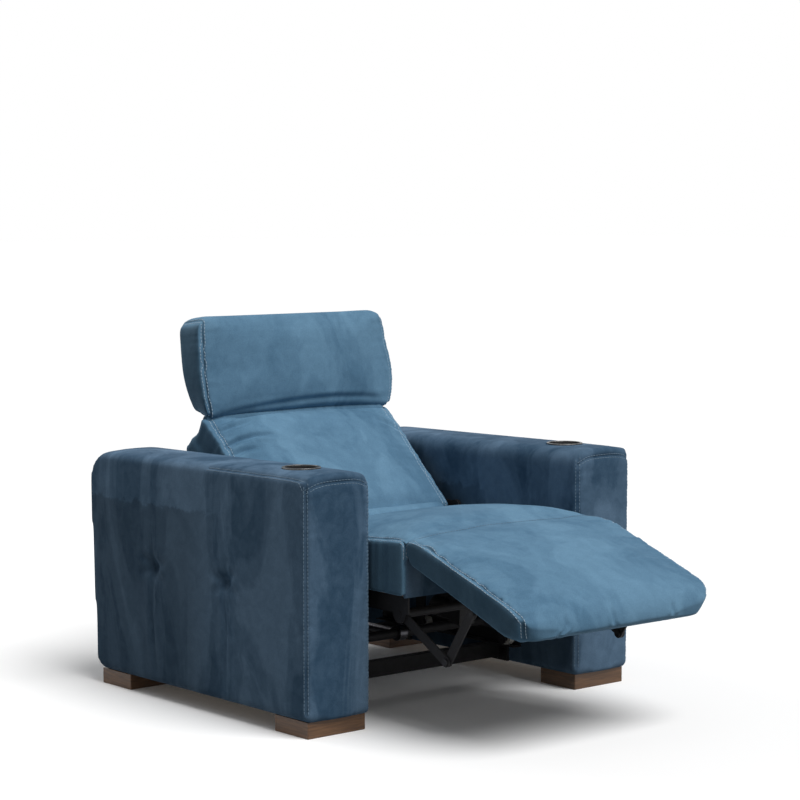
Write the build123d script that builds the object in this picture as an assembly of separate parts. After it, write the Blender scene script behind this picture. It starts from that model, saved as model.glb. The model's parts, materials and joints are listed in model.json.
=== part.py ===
from build123d import *
import os
from math import atan2, cos, degrees, hypot, radians, sin

# Power recliner, shown open: footrest out, back reclined, headrest raised.
# Millimetres. +X is the sitter's left, +Y the back of the chair, +Z up, floor at z = 0.
# While modelling, y = 0 is the front of the arms; the finished parts are centred in Y at the end.

# Clearances
FIT = 0.3             # gap between a cover and the hard piece that it wraps
RUN = 0.05            # radial running clearance of a pin or shaft in its hole
OVER = 1.0            # a padded form's outlines pass each other by this, so none share a face
CROSS_RISE = 4.0      # a pad's crown across stands this much over its crown along

# Arms
SEAT_GAP = 686.0      # clear width between the arms
ARM_WIDTH = 196.0
ARM_DEPTH = 900.0     # along the bottom
ARM_HEIGHT = 620.0    # floor to the top seam
ARM_LEAN = 32.0       # how far the back edge leans out at the top
ARM_TOP_CROWN = 10.0
ARM_SIDE_CROWN = 8.0
ARM_FRONT_CROWN = 4.0
SHOULDER_R = 100.0    # top back corner
HEEL_R = 36.0         # bottom back corner
BROW_R = 14.0         # top front corner
REAR_EDGE_R = 14.0    # vertical back edge
OUTER_EDGE_R = 22.0
INNER_EDGE_R = 42.0
SKIRT_R = 20.0        # bottom outer edge
CORNER_R = 12.0       # vertical front edges
PAD_INNER = 18.0      # foam and cloth over the arm's frame
PAD_OUTER = 30.0
PAD_TOP = 35.0
PAD_FRONT = 25.0
PAD_BACK = 42.0
BOARD = 18.0          # arm frame boards
TUFT_R = 70.0         # ball that shapes a pulled tuft
TUFT_DEPTH = 7.0
TUFT_DROP = 280.0     # below the top seam
TUFT_Y = (320.0, 626.0)

# Feet
FOOT_HEIGHT = 40.0
FOOT_WIDTH = 175.0
FOOT_DEPTH = 130.0
FOOT_INSET = 11.0
FOOT_EDGE = 1.5
SCREW_R = 4.0
SCREW_HEAD_R = 8.0
SCREW_HEAD_H = 5.0
SCREW_BITE = 25.0     # depth of a foot screw in the foot
SCREW_SPREAD = 40.0

# Cup holders
CUP_R = 43.0
CUP_WALL = 2.0
CUP_DEPTH = 75.0
CUP_Y = 145.0
RIM_R = 47.5
RIM_H = 4.5
RIM_PROUD = 1.5
RIM_EDGE = 1.5

# Base between the arms
TUBE_DEPTH = 30.0     # cross tubes, box section
TUBE_HEIGHT = 40.0
TUBE_WALL = 3.0
TUBE_Z = 50.0
TUBE_FRONT_Y = 300.0
TUBE_REAR_Y = 700.0
FLANGE_T = 6.0
FLANGE_W = 96.0
FLANGE_H = 56.0
BOLT_R = 4.0
BOLT_HEAD_R = 7.0
BOLT_HEAD_H = 5.0
BOLT_SPREAD = 33.0
TRACK_WALL = 3.0
TRACK_DEPTH = 28.0    # width of a track's flanges
TRACK_SIDE = 6.0      # between a side plate and its track
TRACK_FRONT_RUN = 35.0    # of a track, in front of the front roller
TRACK_REAR_RUN = 55.0     # and behind the rear one when the chair is closed
PANEL_T = 20.0        # upholstered panel behind the mechanism
PANEL_INSET = 22.0    # from the arms' back edge
PANEL_Z = 60.0
PANEL_TOP_Z = 446.0
INLET_R = 9.0
INLET_X = 200.0
INLET_Z = 120.0
INLET_LENGTH = 30.0
INLET_LIP_R = 13.5
INLET_LIP_T = 3.0
INLET_BORE_R = 4.5
INLET_BORE_DEPTH = 15.0
BOX_X = 130.0         # motor control box
BOX_LENGTH = 120.0
BOX_DEPTH = 70.0
BOX_HEIGHT = 38.0
BOX_EDGE = 3.0

# Rollers and seat carriage
ROLLER_R = 18.0
ROLLER_W = 16.0
ROLLER_SIDE = 3.0     # roller's inset from the track's mouth
AXLE_R = 5.0
AXLE_HEAD_R = 9.0
AXLE_HEAD_T = 2.5
ROLLER_FRONT_Y = 230.0
ROLLER_REAR_Y = 560.0
SEAT_TRAVEL = 150.0   # the carriage's run back along the tracks as the chair closes
PLATE_INSET = 43.0    # from an arm to the outer face of a carriage side plate
PLATE_T = 5.0
PLATE_REAR_Y = 592.0
PLATE_BAR = 45.0      # height of the side plate's upper bar
LEG_W = 52.0          # width of the side plate's legs at the bar
LEG_TIP_R = 14.0      # and round the axles
CARRIAGE_TUBE_R = 12.5
CARRIAGE_TUBE_Z = 170.0
REAR_TUBE_Y = 576.0
REAR_TUBE_Z = 303.0

# Seat
SEAT_SIDE_GAP = 17.0  # between the seat and an arm
SEAT_FRONT_Y = -96.0
SEAT_REAR_Y = 449.0
SEAT_FRONT_Z = 466.0
SEAT_REAR_Z = 436.0
SEAT_CROWN = 42.0
SEAT_CROSS_CROWN = 30.0
SEAT_DRAW = 3.0
SEAT_EDGE_R = 16.0
SEAT_REAR_PAD = 10.0
SEAT_FRONT_PAD = 11.0
SEAT_SIDE_PAD = 18.0
FRAME_Z = 330.0       # underside of the timber seat frame
FRAME_H = 55.0
FRAME_RAIL = 32.0
FRONT_RAIL_TOP = 420.0
WEB_T = 2.5
WEB_W = 50.0
WEB_COUNT = 6
WEB_SHARE = 0.8       # most of the pitch that a strap may fill

# Footrest: its own frame starts at the rear top edge and runs down to the toe
FOOTREST_INSET = 6.0  # each side, from the seat
FOOTREST_LENGTH = 412.0
FOOTREST_DROP = 18.9  # degrees below level
FOOTREST_GAP = 2.3    # in front of the seat
FOOTREST_REAR_T = 56.0
FOOTREST_TOE_T = 76.0
FOOTREST_REAR_CUT = 18.6
FOOTREST_TOE_RISE = 10.0  # the pad is fuller towards the toe
FOOTREST_CROWN = 18.0
FOOTREST_TOE_BULGE = 12.0
FOOTREST_DRAW = 4.0
FOOTREST_EDGE_R = 20.0
FOOTREST_REAR_R = 14.0
FOOTREST_HEEL_R = 7.0
TOE_R = 30.0
HINGE_U = 50.0        # footrest hinge, along the pad from its rear edge
HINGE_N = 48.0        # and below its top
FOLD_BOARD_T = 12.0
FOLD_BOARD_MARGIN = 30.0
FOLD_BOARD_REAR = 22.0
FOLD_BOARD_TOE = 392.0
HINGE_ARM_X = 230.0
HINGE_ARM_T = 6.0
HINGE_KNUCKLE_R = 12.0
HINGE_PIN_R = 5.0
HINGE_SLOT_ROOM = 2.0
HINGE_FLANGE_W = 40.0
HINGE_FLANGE_T = 4.0
HINGE_FLANGE_DROP = 62.0
LEAF_T = 6.0
LEAF_REACH = 110.0

# Footrest links: a parallelogram with the footrest hinge
LINK_U = 232.0        # link pivot on the footrest, along the pad
LINK_N = 84.0         # and below its top
CRANK_BACK = 78.0     # torque tube behind the footrest hinge
CRANK_DROP = 122.0    # and below it
LINK_W = 24.0
LINK_T = 5.0
LINK_GAP = 1.5        # between neighbouring links
LINK_PIN_R = 5.0
TORQUE_R = 11.0
TORQUE_PIN_R = 8.0
LUG_W = 60.0
LUG_PLATE_T = 4.0
LUG_FOOT_H = 8.0
LINK_HEAD_R = 9.0     # heads of the link pins and knee bolts
LINK_HEAD_T = 4.0

# Back
BACK_RECLINE = 46.2   # degrees from upright
BACK_SWING = 30.0     # how far it comes up
BACK_INSET = 8.0      # each side, from the seat
BACK_LENGTH = 372.0
BACK_BEHIND = 5.0     # recline axis, behind the seat cushion
BACK_ABOVE = 7.0      # and above its rear edge
BACK_T = 82.0
BACK_CROWN = 18.0
BACK_DRAW = 4.0
BACK_EDGE_R = 18.0
BACK_START = 2.0
BACK_FRAME_T = 25.0
BACK_RAIL = 48.0
BACK_FRAME_START = 15.0
BACK_FRAME_MARGIN = 7.0
BACK_WEB_COUNT = 4
OUTER_T = 18.0
OUTER_START = 18.0
OUTER_CROWN = 6.0
OUTER_R = 6.0
RECLINE_PIN_R = 6.0
RECLINE_HEAD_R = 9.0
RECLINE_HEAD_T = 1.5
RECLINE_PLATE_T = 4.0
RECLINE_KNUCKLE_R = 15.0
RECLINE_PLATE_GAP = 1.5
STANDOFF_LOW = 30.0
STANDOFF_HIGH = 110.0
BRACKET_REACH = 29.0  # in front of the recline axis
BRACKET_FOOT_T = 6.0
BRACKET_FOOT_DROP = 8.0   # foot's top below the seat frame

# Headrest
HEAD_TILT = 7.0       # degrees back from upright
HEAD_FOLD = 38.0      # how far it folds back
HEAD_INSET = 2.0      # each side, from the back
HEAD_HEIGHT = 265.0
HEAD_T = 100.0
HEAD_SINK = 4.0       # front lower edge, below the top end of the back
HEAD_PROUD = 11.0     # and out of its face
HEAD_CROWN = 19.0
HEAD_REAR_CROWN = 8.0
HEAD_SWELL = 4.0      # how far its sides bow out
HEAD_EDGE_R = 26.0
HEAD_NAPE_R = 58.0    # lower back edge, drawn in to the hinge
HEAD_BOARD_DEPTH = 60.0
HEAD_BOARD_T = 12.0
HEAD_BOARD_MARGIN = 30.0
HEAD_BOARD_LOW = 22.0
HEAD_BOARD_HIGH = 228.0
SHAFT_R = 5.0
SHAFT_BACK = 26.0     # headrest shaft, behind the lower front edge
SHAFT_DROP = 12.0     # and below it
SHAFT_KNUCKLE_R = 8.0
ARM_PLATE_X = 210.0
ARM_PLATE_T = 5.0
ARM_PLATE_W = 16.0
GEAR_CASE_R = 11.5
GEAR_CASE_L = 50.0
HEAD_MOTOR_R = 14.0

# Motors
LEG_X = -60.0
LEG_TUBE_R = 18.0
LEG_ROD_R = 10.0
LEG_TUBE_FRONT_Y = 420.0
LEG_TUBE_REAR_Y = 690.0
LEG_ROD_INSERT = 50.0
LEG_BORE_ROOM = 3.0    # past the rod's end when the chair is closed
LEG_EYE_R = 20.0
LEG_EYE_W = 24.0
LEG_POST_W = 44.0
LEG_POST_D = 20.0
MOTOR_R = 26.0
MOTOR_L = 80.0
BACK_ACT_X = 50.0
BACK_ACT_Y = 60.0
BACK_ACT_Z = 262.0
BACK_CRANK = 150.0    # from the recline axis to the back motor's pin
BACK_CRANK_ANGLE = -80.0
BACK_TUBE_R = 16.0
BACK_ROD_R = 9.0
BACK_TUBE_START = 30.0
BACK_TUBE_END = 330.0
BACK_ROD_START = 205.0
ACT_EYE_R = 16.0
ACT_EYE_W = 18.0
ACT_PIN_R = 6.0
ACT_EYE_PLAY = 5.0    # room at the pivot where the back motor's loop is open
CLEVIS_T = 4.0
CLEVIS_W = 36.0
CROSSBAR_W = 40.0
CROSSBAR_H = 12.0

# Hand control on the sitter's right
SWITCH_Y = 150.0
SWITCH_DROP = 80.0    # below the arm's top seam
SWITCH_L = 104.0
SWITCH_H = 34.0
SWITCH_PLATE_T = 3.0
SWITCH_LIP = 5.0
BUTTON_R = 7.0
BUTTON_COUNT = 4
BUTTON_PITCH = 22.0
BUTTON_PROUD = 2.5
BUTTON_TRAVEL = 1.5
BUTTON_LENGTH = 10.0
BUTTON_EDGE = 0.75

# Places that follow from the sizes
REACH = 4000.0        # longer than the whole chair, for cutting prisms
ARM_IN = SEAT_GAP / 2
ARM_OUT = ARM_IN + ARM_WIDTH
ARM_MID = ARM_IN + ARM_WIDTH / 2
ARM_CREST = ARM_HEIGHT + ARM_TOP_CROWN
ARM_REAR = ARM_DEPTH + ARM_LEAN
TUFT_Z = ARM_HEIGHT - TUFT_DROP
SWITCH_Z = ARM_HEIGHT - SWITCH_DROP
SEAT_HALF = ARM_IN - SEAT_SIDE_GAP
PLATE_X = ARM_IN - PLATE_INSET
PLATE_FRONT_Y = SEAT_FRONT_Y + SEAT_FRONT_PAD
FOOTREST_HALF = SEAT_HALF - FOOTREST_INSET
FOLD_BOARD_HALF = FOOTREST_HALF - FOLD_BOARD_MARGIN
BACK_HALF = SEAT_HALF - BACK_INSET
HEAD_HALF = BACK_HALF - HEAD_INSET
HEAD_BOARD_HALF = HEAD_HALF - HEAD_BOARD_MARGIN
TRACK_FRONT_Y = ROLLER_FRONT_Y - TRACK_FRONT_RUN
TRACK_REAR_Y = ROLLER_REAR_Y + SEAT_TRAVEL + TRACK_REAR_RUN
BACK_Y = SEAT_REAR_Y + BACK_BEHIND
BACK_Z = SEAT_REAR_Z + BACK_ABOVE
CORE_X = (ARM_IN + PAD_INNER, ARM_OUT - PAD_OUTER)
CORE_Y = (PAD_FRONT, ARM_DEPTH - PAD_BACK)
CORE_Z = (FOOT_HEIGHT, ARM_HEIGHT - PAD_TOP)
RIM_TOP = ARM_CREST + RIM_PROUD
RIM_SEAT = RIM_TOP - RIM_H
TUBE_TOP = TUBE_Z + TUBE_HEIGHT
TUBE_MID_Z = TUBE_Z + TUBE_HEIGHT / 2
ROLLER_Z = TUBE_TOP + TRACK_WALL + FIT + ROLLER_R
TRACK_TOP = ROLLER_Z + ROLLER_R + FIT + TRACK_WALL
TRACK_IN = PLATE_X + TRACK_SIDE
TRACK_OUT = TRACK_IN + TRACK_DEPTH
ROLLER_X = (TRACK_IN + ROLLER_SIDE, TRACK_IN + ROLLER_SIDE + ROLLER_W)
FRAME_FRONT_Y = PLATE_FRONT_Y
FRAME_REAR_Y = SEAT_REAR_Y - SEAT_REAR_PAD
FRAME_HALF = SEAT_HALF - SEAT_SIDE_PAD
FRAME_TOP = FRAME_Z + FRAME_H
CRANK_X = (PLATE_X - PLATE_T - LINK_GAP - LINK_T, PLATE_X - PLATE_T - LINK_GAP)
COUPLER_X = (CRANK_X[0] - LINK_GAP - LINK_T, CRANK_X[0] - LINK_GAP)
LUG_X = (COUPLER_X[0] - LINK_GAP - LUG_PLATE_T, COUPLER_X[0] - LINK_GAP)
BACK_PLATE_IN = SEAT_HALF + RECLINE_PLATE_GAP
BACK_PLATE_X = (BACK_PLATE_IN, BACK_PLATE_IN + RECLINE_PLATE_T)
BRACKET_IN = BACK_PLATE_X[1] + RECLINE_PLATE_GAP
BRACKET_X = (BRACKET_IN, BRACKET_IN + RECLINE_PLATE_T)
BACK_FRAME_FACE = -BACK_T - FIT
BACK_FRAME_REAR = BACK_FRAME_FACE - BACK_FRAME_T
BACK_FRAME_END = BACK_LENGTH - BACK_FRAME_MARGIN
SWITCH_BACK = ARM_IN + PAD_INNER - FIT


def place(y, z, lean, along, out):
    """Point (y, z) at ALONG up a face that leans back LEAN degrees and OUT of its front."""
    turn = radians(lean)
    return (y + along * sin(turn) - out * cos(turn), z + along * cos(turn) + out * sin(turn))


def local(y, z, lean, point):
    """The inverse of place: (along, out) of a point (y, z)."""
    turn = radians(lean)
    dy, dz = point[0] - y, point[1] - z
    return (dy * sin(turn) + dz * cos(turn), -dy * cos(turn) + dz * sin(turn))


def leaning(y, z, lean, x=0.0):
    """Location whose Y runs up a leaning face and whose Z stands out of its front."""
    turn = radians(lean)
    return Plane((x, y, z), x_dir=(1, 0, 0), z_dir=(0, -cos(turn), sin(turn))).location


# Joint axes, as (y, z) points of lines along X
FOOTREST_LEAN = 90.0 - FOOTREST_DROP
FOOTREST_FOLD = FOOTREST_LEAN
FOOTREST_AT = (SEAT_FRONT_Y - FOOTREST_GAP, SEAT_FRONT_Z, FOOTREST_LEAN)
FOOT_HINGE = place(*FOOTREST_AT, -HINGE_U, -HINGE_N)
LINK_PIVOT = place(*FOOTREST_AT, -LINK_U, -LINK_N)
CRANK_PIVOT = (FOOT_HINGE[0] + CRANK_BACK, FOOT_HINGE[1] - CRANK_DROP)
KNEE = (LINK_PIVOT[0] + CRANK_BACK, LINK_PIVOT[1] - CRANK_DROP)
BACK_AT = (BACK_Y, BACK_Z, BACK_RECLINE)
RECLINE_AXIS = (BACK_Y, BACK_Z)
HEAD_EDGE = place(*BACK_AT, BACK_LENGTH - HEAD_SINK, HEAD_PROUD)
HEAD_AT = (*HEAD_EDGE, HEAD_TILT)
HEAD_AXIS = (HEAD_EDGE[0] + SHAFT_BACK, HEAD_EDGE[1] - SHAFT_DROP)
BACK_ACT_PIVOT = (BACK_ACT_Y, BACK_ACT_Z)


def crank_pin(swing):
    """Where the back motor's pin stands when the back has come up by SWING degrees."""
    turn = radians(BACK_CRANK_ANGLE + swing)
    return (BACK_Y + BACK_CRANK * cos(turn), BACK_Z + BACK_CRANK * sin(turn))


def actuator_reach(swing):
    """Length and slope in degrees of the back motor at a swing of the back."""
    pin = crank_pin(swing)
    dy, dz = pin[0] - BACK_ACT_PIVOT[0], pin[1] - BACK_ACT_PIVOT[1]
    return hypot(dy, dz), degrees(atan2(dz, dy))


BACK_ACT_LENGTH, BACK_ACT_SLOPE = actuator_reach(0.0)
BACK_ACT_STROKE = actuator_reach(BACK_SWING)[0] - BACK_ACT_LENGTH
BACK_ACT_TURN = actuator_reach(BACK_SWING)[1] - BACK_ACT_SLOPE


# Building blocks
def outline(corners, bulges=None):
    """Face through (u, v, radius) corners, counter-clockwise; each bulge bows one edge outward."""
    bulges = bulges or [0.0] * len(corners)
    edges = []
    for start, end, bow in zip(corners, corners[1:] + corners[:1], bulges):
        du, dv = end[0] - start[0], end[1] - start[1]
        if bow:
            span = hypot(du, dv)
            middle = ((start[0] + end[0]) / 2 + bow * dv / span, (start[1] + end[1]) / 2 - bow * du / span)
            edges.append(ThreePointArc(start[:2], middle, end[:2]))
        else:
            edges.append(Line(start[:2], end[:2]))
    face = make_face(edges)
    for u, v, radius in corners:
        if radius:
            corner = face.vertices().sort_by_distance((u, v, 0))[0]
            face = fillet(corner, radius)
    return face


def along_x(face, low, high):
    """Prism of a (y, z) face."""
    return extrude(Plane.YZ.offset(low) * face, amount=high - low)


def along_y(face, low, high):
    """Prism of an (x, z) face."""
    return extrude(Plane((0, high, 0), x_dir=(1, 0, 0), z_dir=(0, -1, 0)) * face, amount=high - low)


def along_z(face, low, high):
    """Prism of an (x, y) face."""
    return extrude(Plane.XY.offset(low) * face, amount=high - low)


def pillow(side, front, plan):
    """Padded form whose side, front and top outlines are the three faces."""
    return along_x(side, -REACH, REACH) & along_y(front, -REACH, REACH) & along_z(plan, -REACH, REACH)


def block(x, y, z):
    """Box between three pairs of limits."""
    limits = (x, y, z)
    middle = [(low + high) / 2 for low, high in limits]
    return Pos(*middle) * Box(*[high - low for low, high in limits])


def bar_x(point, radius, x):
    """Round bar along X through a (y, z) point."""
    return Pos((x[0] + x[1]) / 2, *point) * Rot(0, 90, 0) * Cylinder(radius, x[1] - x[0])


def bar_y(x, z, radius, y):
    """Round bar along Y."""
    return Pos(x, (y[0] + y[1]) / 2, z) * Rot(90, 0, 0) * Cylinder(radius, y[1] - y[0])


def bar_z(x, y, radius, z):
    """Round bar along Z."""
    return Pos(x, y, (z[0] + z[1]) / 2) * Cylinder(radius, z[1] - z[0])


def link(start, end, width, x):
    """Flat bar with round ends between two (y, z) points."""
    span = hypot(end[0] - start[0], end[1] - start[1])
    turn = degrees(atan2(end[1] - start[1], end[0] - start[0]))
    face = Pos((start[0] + end[0]) / 2, (start[1] + end[1]) / 2) * Rot(0, 0, turn)
    return along_x(face * SlotCenterToCenter(span, width), *x)


def flipped(part):
    """The same piece on the other side of the chair."""
    return mirror(part, Plane.YZ)


def both(part):
    """A piece and its mirror image, as separate solids."""
    return Compound(part.solids() + flipped(part).solids())


def group(parts):
    """Several solids in one node."""
    return Compound([solid for part in parts for solid in part.solids()])


# Arms
def arm_form():
    """Outside of the sitter's left arm."""
    nose = -ARM_FRONT_CROWN - OVER
    skirt = FOOT_HEIGHT - OVER
    inner = ARM_IN - OVER
    side = outline(
        [(nose, FOOT_HEIGHT, 0), (ARM_DEPTH, FOOT_HEIGHT, HEEL_R),
         (ARM_REAR, ARM_CREST + OVER, SHOULDER_R), (nose, ARM_CREST + OVER, BROW_R)])
    front = outline(
        [(ARM_IN, skirt, 0), (ARM_OUT, skirt, SKIRT_R),
         (ARM_OUT, ARM_HEIGHT, OUTER_EDGE_R), (ARM_IN, ARM_HEIGHT, INNER_EDGE_R)],
        [0, ARM_SIDE_CROWN, ARM_TOP_CROWN, 0])
    plan = outline(
        [(inner, 0, CORNER_R), (ARM_OUT, 0, CORNER_R),
         (ARM_OUT, ARM_REAR, REAR_EDGE_R), (inner, ARM_REAR, CORNER_R)],
        [ARM_FRONT_CROWN, ARM_SIDE_CROWN + CROSS_RISE, 0, 0])
    form = pillow(side, front, plan)
    for y in TUFT_Y:
        form -= Pos(ARM_OUT + ARM_SIDE_CROWN + TUFT_R - TUFT_DEPTH, y, TUFT_Z) * Sphere(TUFT_R)
    return form


def flange_bolts(radius, head):
    """Shanks of the bolts that hold the cross tubes to the left arm, with heads if asked."""
    shanks = []
    for y in (TUBE_FRONT_Y - BOLT_SPREAD, TUBE_FRONT_Y + BOLT_SPREAD,
              TUBE_REAR_Y - BOLT_SPREAD, TUBE_REAR_Y + BOLT_SPREAD):
        point = (y, TUBE_MID_Z)
        inside = ARM_IN - FLANGE_T
        shank = bar_x(point, radius, (inside, CORE_X[0] + FIT + BOARD))
        if head:
            shank += bar_x(point, BOLT_HEAD_R, (inside - BOLT_HEAD_H, inside))
        shanks.append(shank)
    return shanks


def arm_cover():
    """Foam and cloth shell of the left arm, open underneath."""
    cover = arm_form() - block(CORE_X, CORE_Y, (FOOT_HEIGHT - FIT, CORE_Z[1]))
    cover -= bar_z(ARM_MID, CUP_Y, CUP_R + FIT, (CORE_Z[1] - FIT, ARM_CREST + FIT))
    cover -= bar_z(ARM_MID, CUP_Y, RIM_R + FIT, (RIM_SEAT, RIM_TOP))
    for bolt in flange_bolts(BOLT_R + FIT, False):
        cover -= bolt
    return cover


def foot_limits(front):
    """X and Y limits of a left foot."""
    x = (ARM_OUT - FOOT_INSET - FOOT_WIDTH, ARM_OUT - FOOT_INSET)
    y0 = FOOT_INSET if front else ARM_DEPTH - FOOT_INSET - FOOT_DEPTH
    return x, (y0, y0 + FOOT_DEPTH)


def foot_screws(radius, head):
    """Screws of the two left feet."""
    screws = []
    floor = FOOT_HEIGHT + BOARD
    for front in (True, False):
        x, y = foot_limits(front)
        middle = ((CORE_X[0] + CORE_X[1]) / 2, (y[0] + y[1]) / 2)
        for step in (-SCREW_SPREAD, SCREW_SPREAD):
            screw = bar_z(middle[0] + step, middle[1], radius, (FOOT_HEIGHT - SCREW_BITE, floor))
            if head:
                screw += bar_z(middle[0] + step, middle[1], SCREW_HEAD_R, (floor, floor + SCREW_HEAD_H))
            screws.append(screw)
    return screws


def arm_frame():
    """Board box inside the left arm, with two openings in its outer side."""
    x = (CORE_X[0] + FIT, CORE_X[1] - FIT)
    y = (CORE_Y[0] + FIT, CORE_Y[1] - FIT)
    z = (CORE_Z[0], CORE_Z[1] - FIT)
    frame = block(x, y, z)
    inner_y = (y[0] + BOARD, y[1] - BOARD)
    inner_z = (z[0] + BOARD, z[1] - BOARD)
    frame -= block((x[0] + BOARD, x[1] - BOARD), inner_y, inner_z)
    post = (inner_y[0] + inner_y[1]) / 2
    window_z = (inner_z[0] + BOARD, inner_z[1] - BOARD)
    for window_y in ((inner_y[0] + BOARD, post - BOARD), (post + BOARD, inner_y[1] - BOARD)):
        frame -= block((x[1] - BOARD, x[1]), window_y, window_z)
    frame -= bar_z(ARM_MID, CUP_Y, CUP_R + FIT, (inner_z[1], z[1]))
    for bolt in flange_bolts(BOLT_R + RUN, False) + foot_screws(SCREW_R + RUN, False):
        frame -= bolt
    return frame


def foot(front):
    """Walnut block foot of the left arm."""
    x, y = foot_limits(front)
    form = block(x, y, (0, FOOT_HEIGHT))
    form = chamfer(form.edges().filter_by(Axis.Z) + form.faces().sort_by(Axis.Z)[0].edges(), FOOT_EDGE)
    for screw in foot_screws(SCREW_R + RUN, False):
        form -= screw
    return form


def cup():
    """Cup holder well in the left arm."""
    z = (RIM_SEAT - CUP_DEPTH, RIM_SEAT)
    well = bar_z(ARM_MID, CUP_Y, CUP_R, z)
    return well - bar_z(ARM_MID, CUP_Y, CUP_R - CUP_WALL, (z[0] + CUP_WALL, z[1]))


def cup_rim():
    """Steel ring round the mouth of the left cup holder."""
    z = (RIM_SEAT, RIM_TOP)
    ring = bar_z(ARM_MID, CUP_Y, RIM_R, z) - bar_z(ARM_MID, CUP_Y, CUP_R - CUP_WALL, z)
    return fillet(ring.faces().sort_by(Axis.Z)[-1].edges(), RIM_EDGE)


# Base between the arms
def cross_tube(y):
    """Box section tube between the arms, with a bolted flange at each end."""
    end = ARM_IN - FLANGE_T
    across = (y - TUBE_DEPTH / 2, y + TUBE_DEPTH / 2)
    tube = block((-end, end), across, (TUBE_Z, TUBE_TOP))
    hollow_y = (across[0] + TUBE_WALL, across[1] - TUBE_WALL)
    hollow_z = (TUBE_Z + TUBE_WALL, TUBE_TOP - TUBE_WALL)
    tube -= block((-end, end), hollow_y, hollow_z)
    flange_z = (TUBE_MID_Z - FLANGE_H / 2, TUBE_MID_Z + FLANGE_H / 2)
    flange = block((end, ARM_IN), (y - FLANGE_W / 2, y + FLANGE_W / 2), flange_z)
    for bolt in flange_bolts(BOLT_R + RUN, False):
        flange -= bolt
    return tube + flange + flipped(flange)


def track():
    """Left roller track: a channel that opens towards the seat."""
    y = (TRACK_FRONT_Y, TRACK_REAR_Y)
    channel = block((TRACK_IN, TRACK_OUT), y, (TUBE_TOP, TRACK_TOP))
    hollow_z = (TUBE_TOP + TRACK_WALL, TRACK_TOP - TRACK_WALL)
    return channel - block((TRACK_IN, TRACK_OUT - TRACK_WALL), y, hollow_z)


def rear_panel():
    """Upholstered board across the back of the base."""
    y = (ARM_DEPTH - PANEL_INSET - PANEL_T, ARM_DEPTH - PANEL_INSET)
    panel = block((-ARM_IN, ARM_IN), y, (PANEL_Z, PANEL_TOP_Z))
    return panel - bar_y(INLET_X, INLET_Z, INLET_R + FIT, y)


def power_inlet():
    """Socket for the supply lead, in the rear panel."""
    rear = ARM_DEPTH - PANEL_INSET
    socket = bar_y(INLET_X, INLET_Z, INLET_R, (rear - INLET_LENGTH, rear))
    socket += bar_y(INLET_X, INLET_Z, INLET_LIP_R, (rear, rear + INLET_LIP_T))
    return socket - bar_y(INLET_X, INLET_Z, INLET_BORE_R, (rear - INLET_BORE_DEPTH, rear + INLET_LIP_T))


def control_box():
    """Motor control box on the rear cross tube."""
    front = TUBE_REAR_Y - TUBE_DEPTH / 2
    x = (BOX_X - BOX_LENGTH / 2, BOX_X + BOX_LENGTH / 2)
    case = block(x, (front, front + BOX_DEPTH), (TUBE_TOP, TUBE_TOP + BOX_HEIGHT))
    return fillet(case.faces().sort_by(Axis.Z)[-1].edges(), BOX_EDGE)


# Leg motor: its tube is fixed to the base and its rod moves the carriage
def leg_gear_limits():
    """Y and Z limits of the gear head at the rear of the leg motor's tube."""
    z = (CARRIAGE_TUBE_Z - LEG_TUBE_R, CARRIAGE_TUBE_Z + LEG_TUBE_R + 2 * MOTOR_R)
    return (LEG_TUBE_REAR_Y - MOTOR_L / 2, LEG_TUBE_REAR_Y), z


def leg_tube():
    """Outer tube and gear head of the leg motor."""
    y, z = leg_gear_limits()
    tube = bar_y(LEG_X, CARRIAGE_TUBE_Z, LEG_TUBE_R, (LEG_TUBE_FRONT_Y, y[1]))
    tube += block((LEG_X - MOTOR_R, LEG_X + MOTOR_R), y, z)
    bore = (LEG_TUBE_FRONT_Y, LEG_TUBE_FRONT_Y + LEG_ROD_INSERT + SEAT_TRAVEL + LEG_BORE_ROOM)
    return tube - bar_y(LEG_X, CARRIAGE_TUBE_Z, LEG_ROD_R + RUN, bore)


def leg_motor():
    """Motor can on the gear head."""
    y, z = leg_gear_limits()
    return bar_y(LEG_X, z[1] - MOTOR_R, MOTOR_R - FIT, (y[0] - MOTOR_L, y[0]))


def leg_post():
    """Post that carries the leg motor on the rear cross tube."""
    y, z = leg_gear_limits()
    x = (LEG_X - LEG_POST_W / 2, LEG_X + LEG_POST_W / 2)
    return block(x, (y[1], y[1] + LEG_POST_D), (TUBE_TOP, z[1]))


def leg_rod():
    """Rod of the leg motor, with the eye that grips the carriage tube."""
    point = (ROLLER_FRONT_Y, CARRIAGE_TUBE_Z)
    rod = bar_x(point, LEG_EYE_R, (LEG_X - LEG_EYE_W / 2, LEG_X + LEG_EYE_W / 2))
    rod += bar_y(LEG_X, CARRIAGE_TUBE_Z, LEG_ROD_R, (point[0], LEG_TUBE_FRONT_Y + LEG_ROD_INSERT))
    return rod - bar_x(point, CARRIAGE_TUBE_R + RUN, (-REACH, REACH))


# Hand control, on the inner face of the right arm
def switch_panel():
    """Face plate and housing of the hand control."""
    y = (SWITCH_Y - SWITCH_L / 2, SWITCH_Y + SWITCH_L / 2)
    z = (SWITCH_Z - SWITCH_H / 2, SWITCH_Z + SWITCH_H / 2)
    plate = block((-ARM_IN, -ARM_IN + SWITCH_PLATE_T), y, z)
    plate = fillet(plate.edges().filter_by(Axis.X), SWITCH_LIP)
    panel = plate + switch_housing(0.0)
    bore = (button_floor(), -ARM_IN + SWITCH_PLATE_T)
    for index in range(BUTTON_COUNT):
        panel -= bar_x((button_y(index), SWITCH_Z), BUTTON_R + RUN, bore)
    return panel


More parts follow.
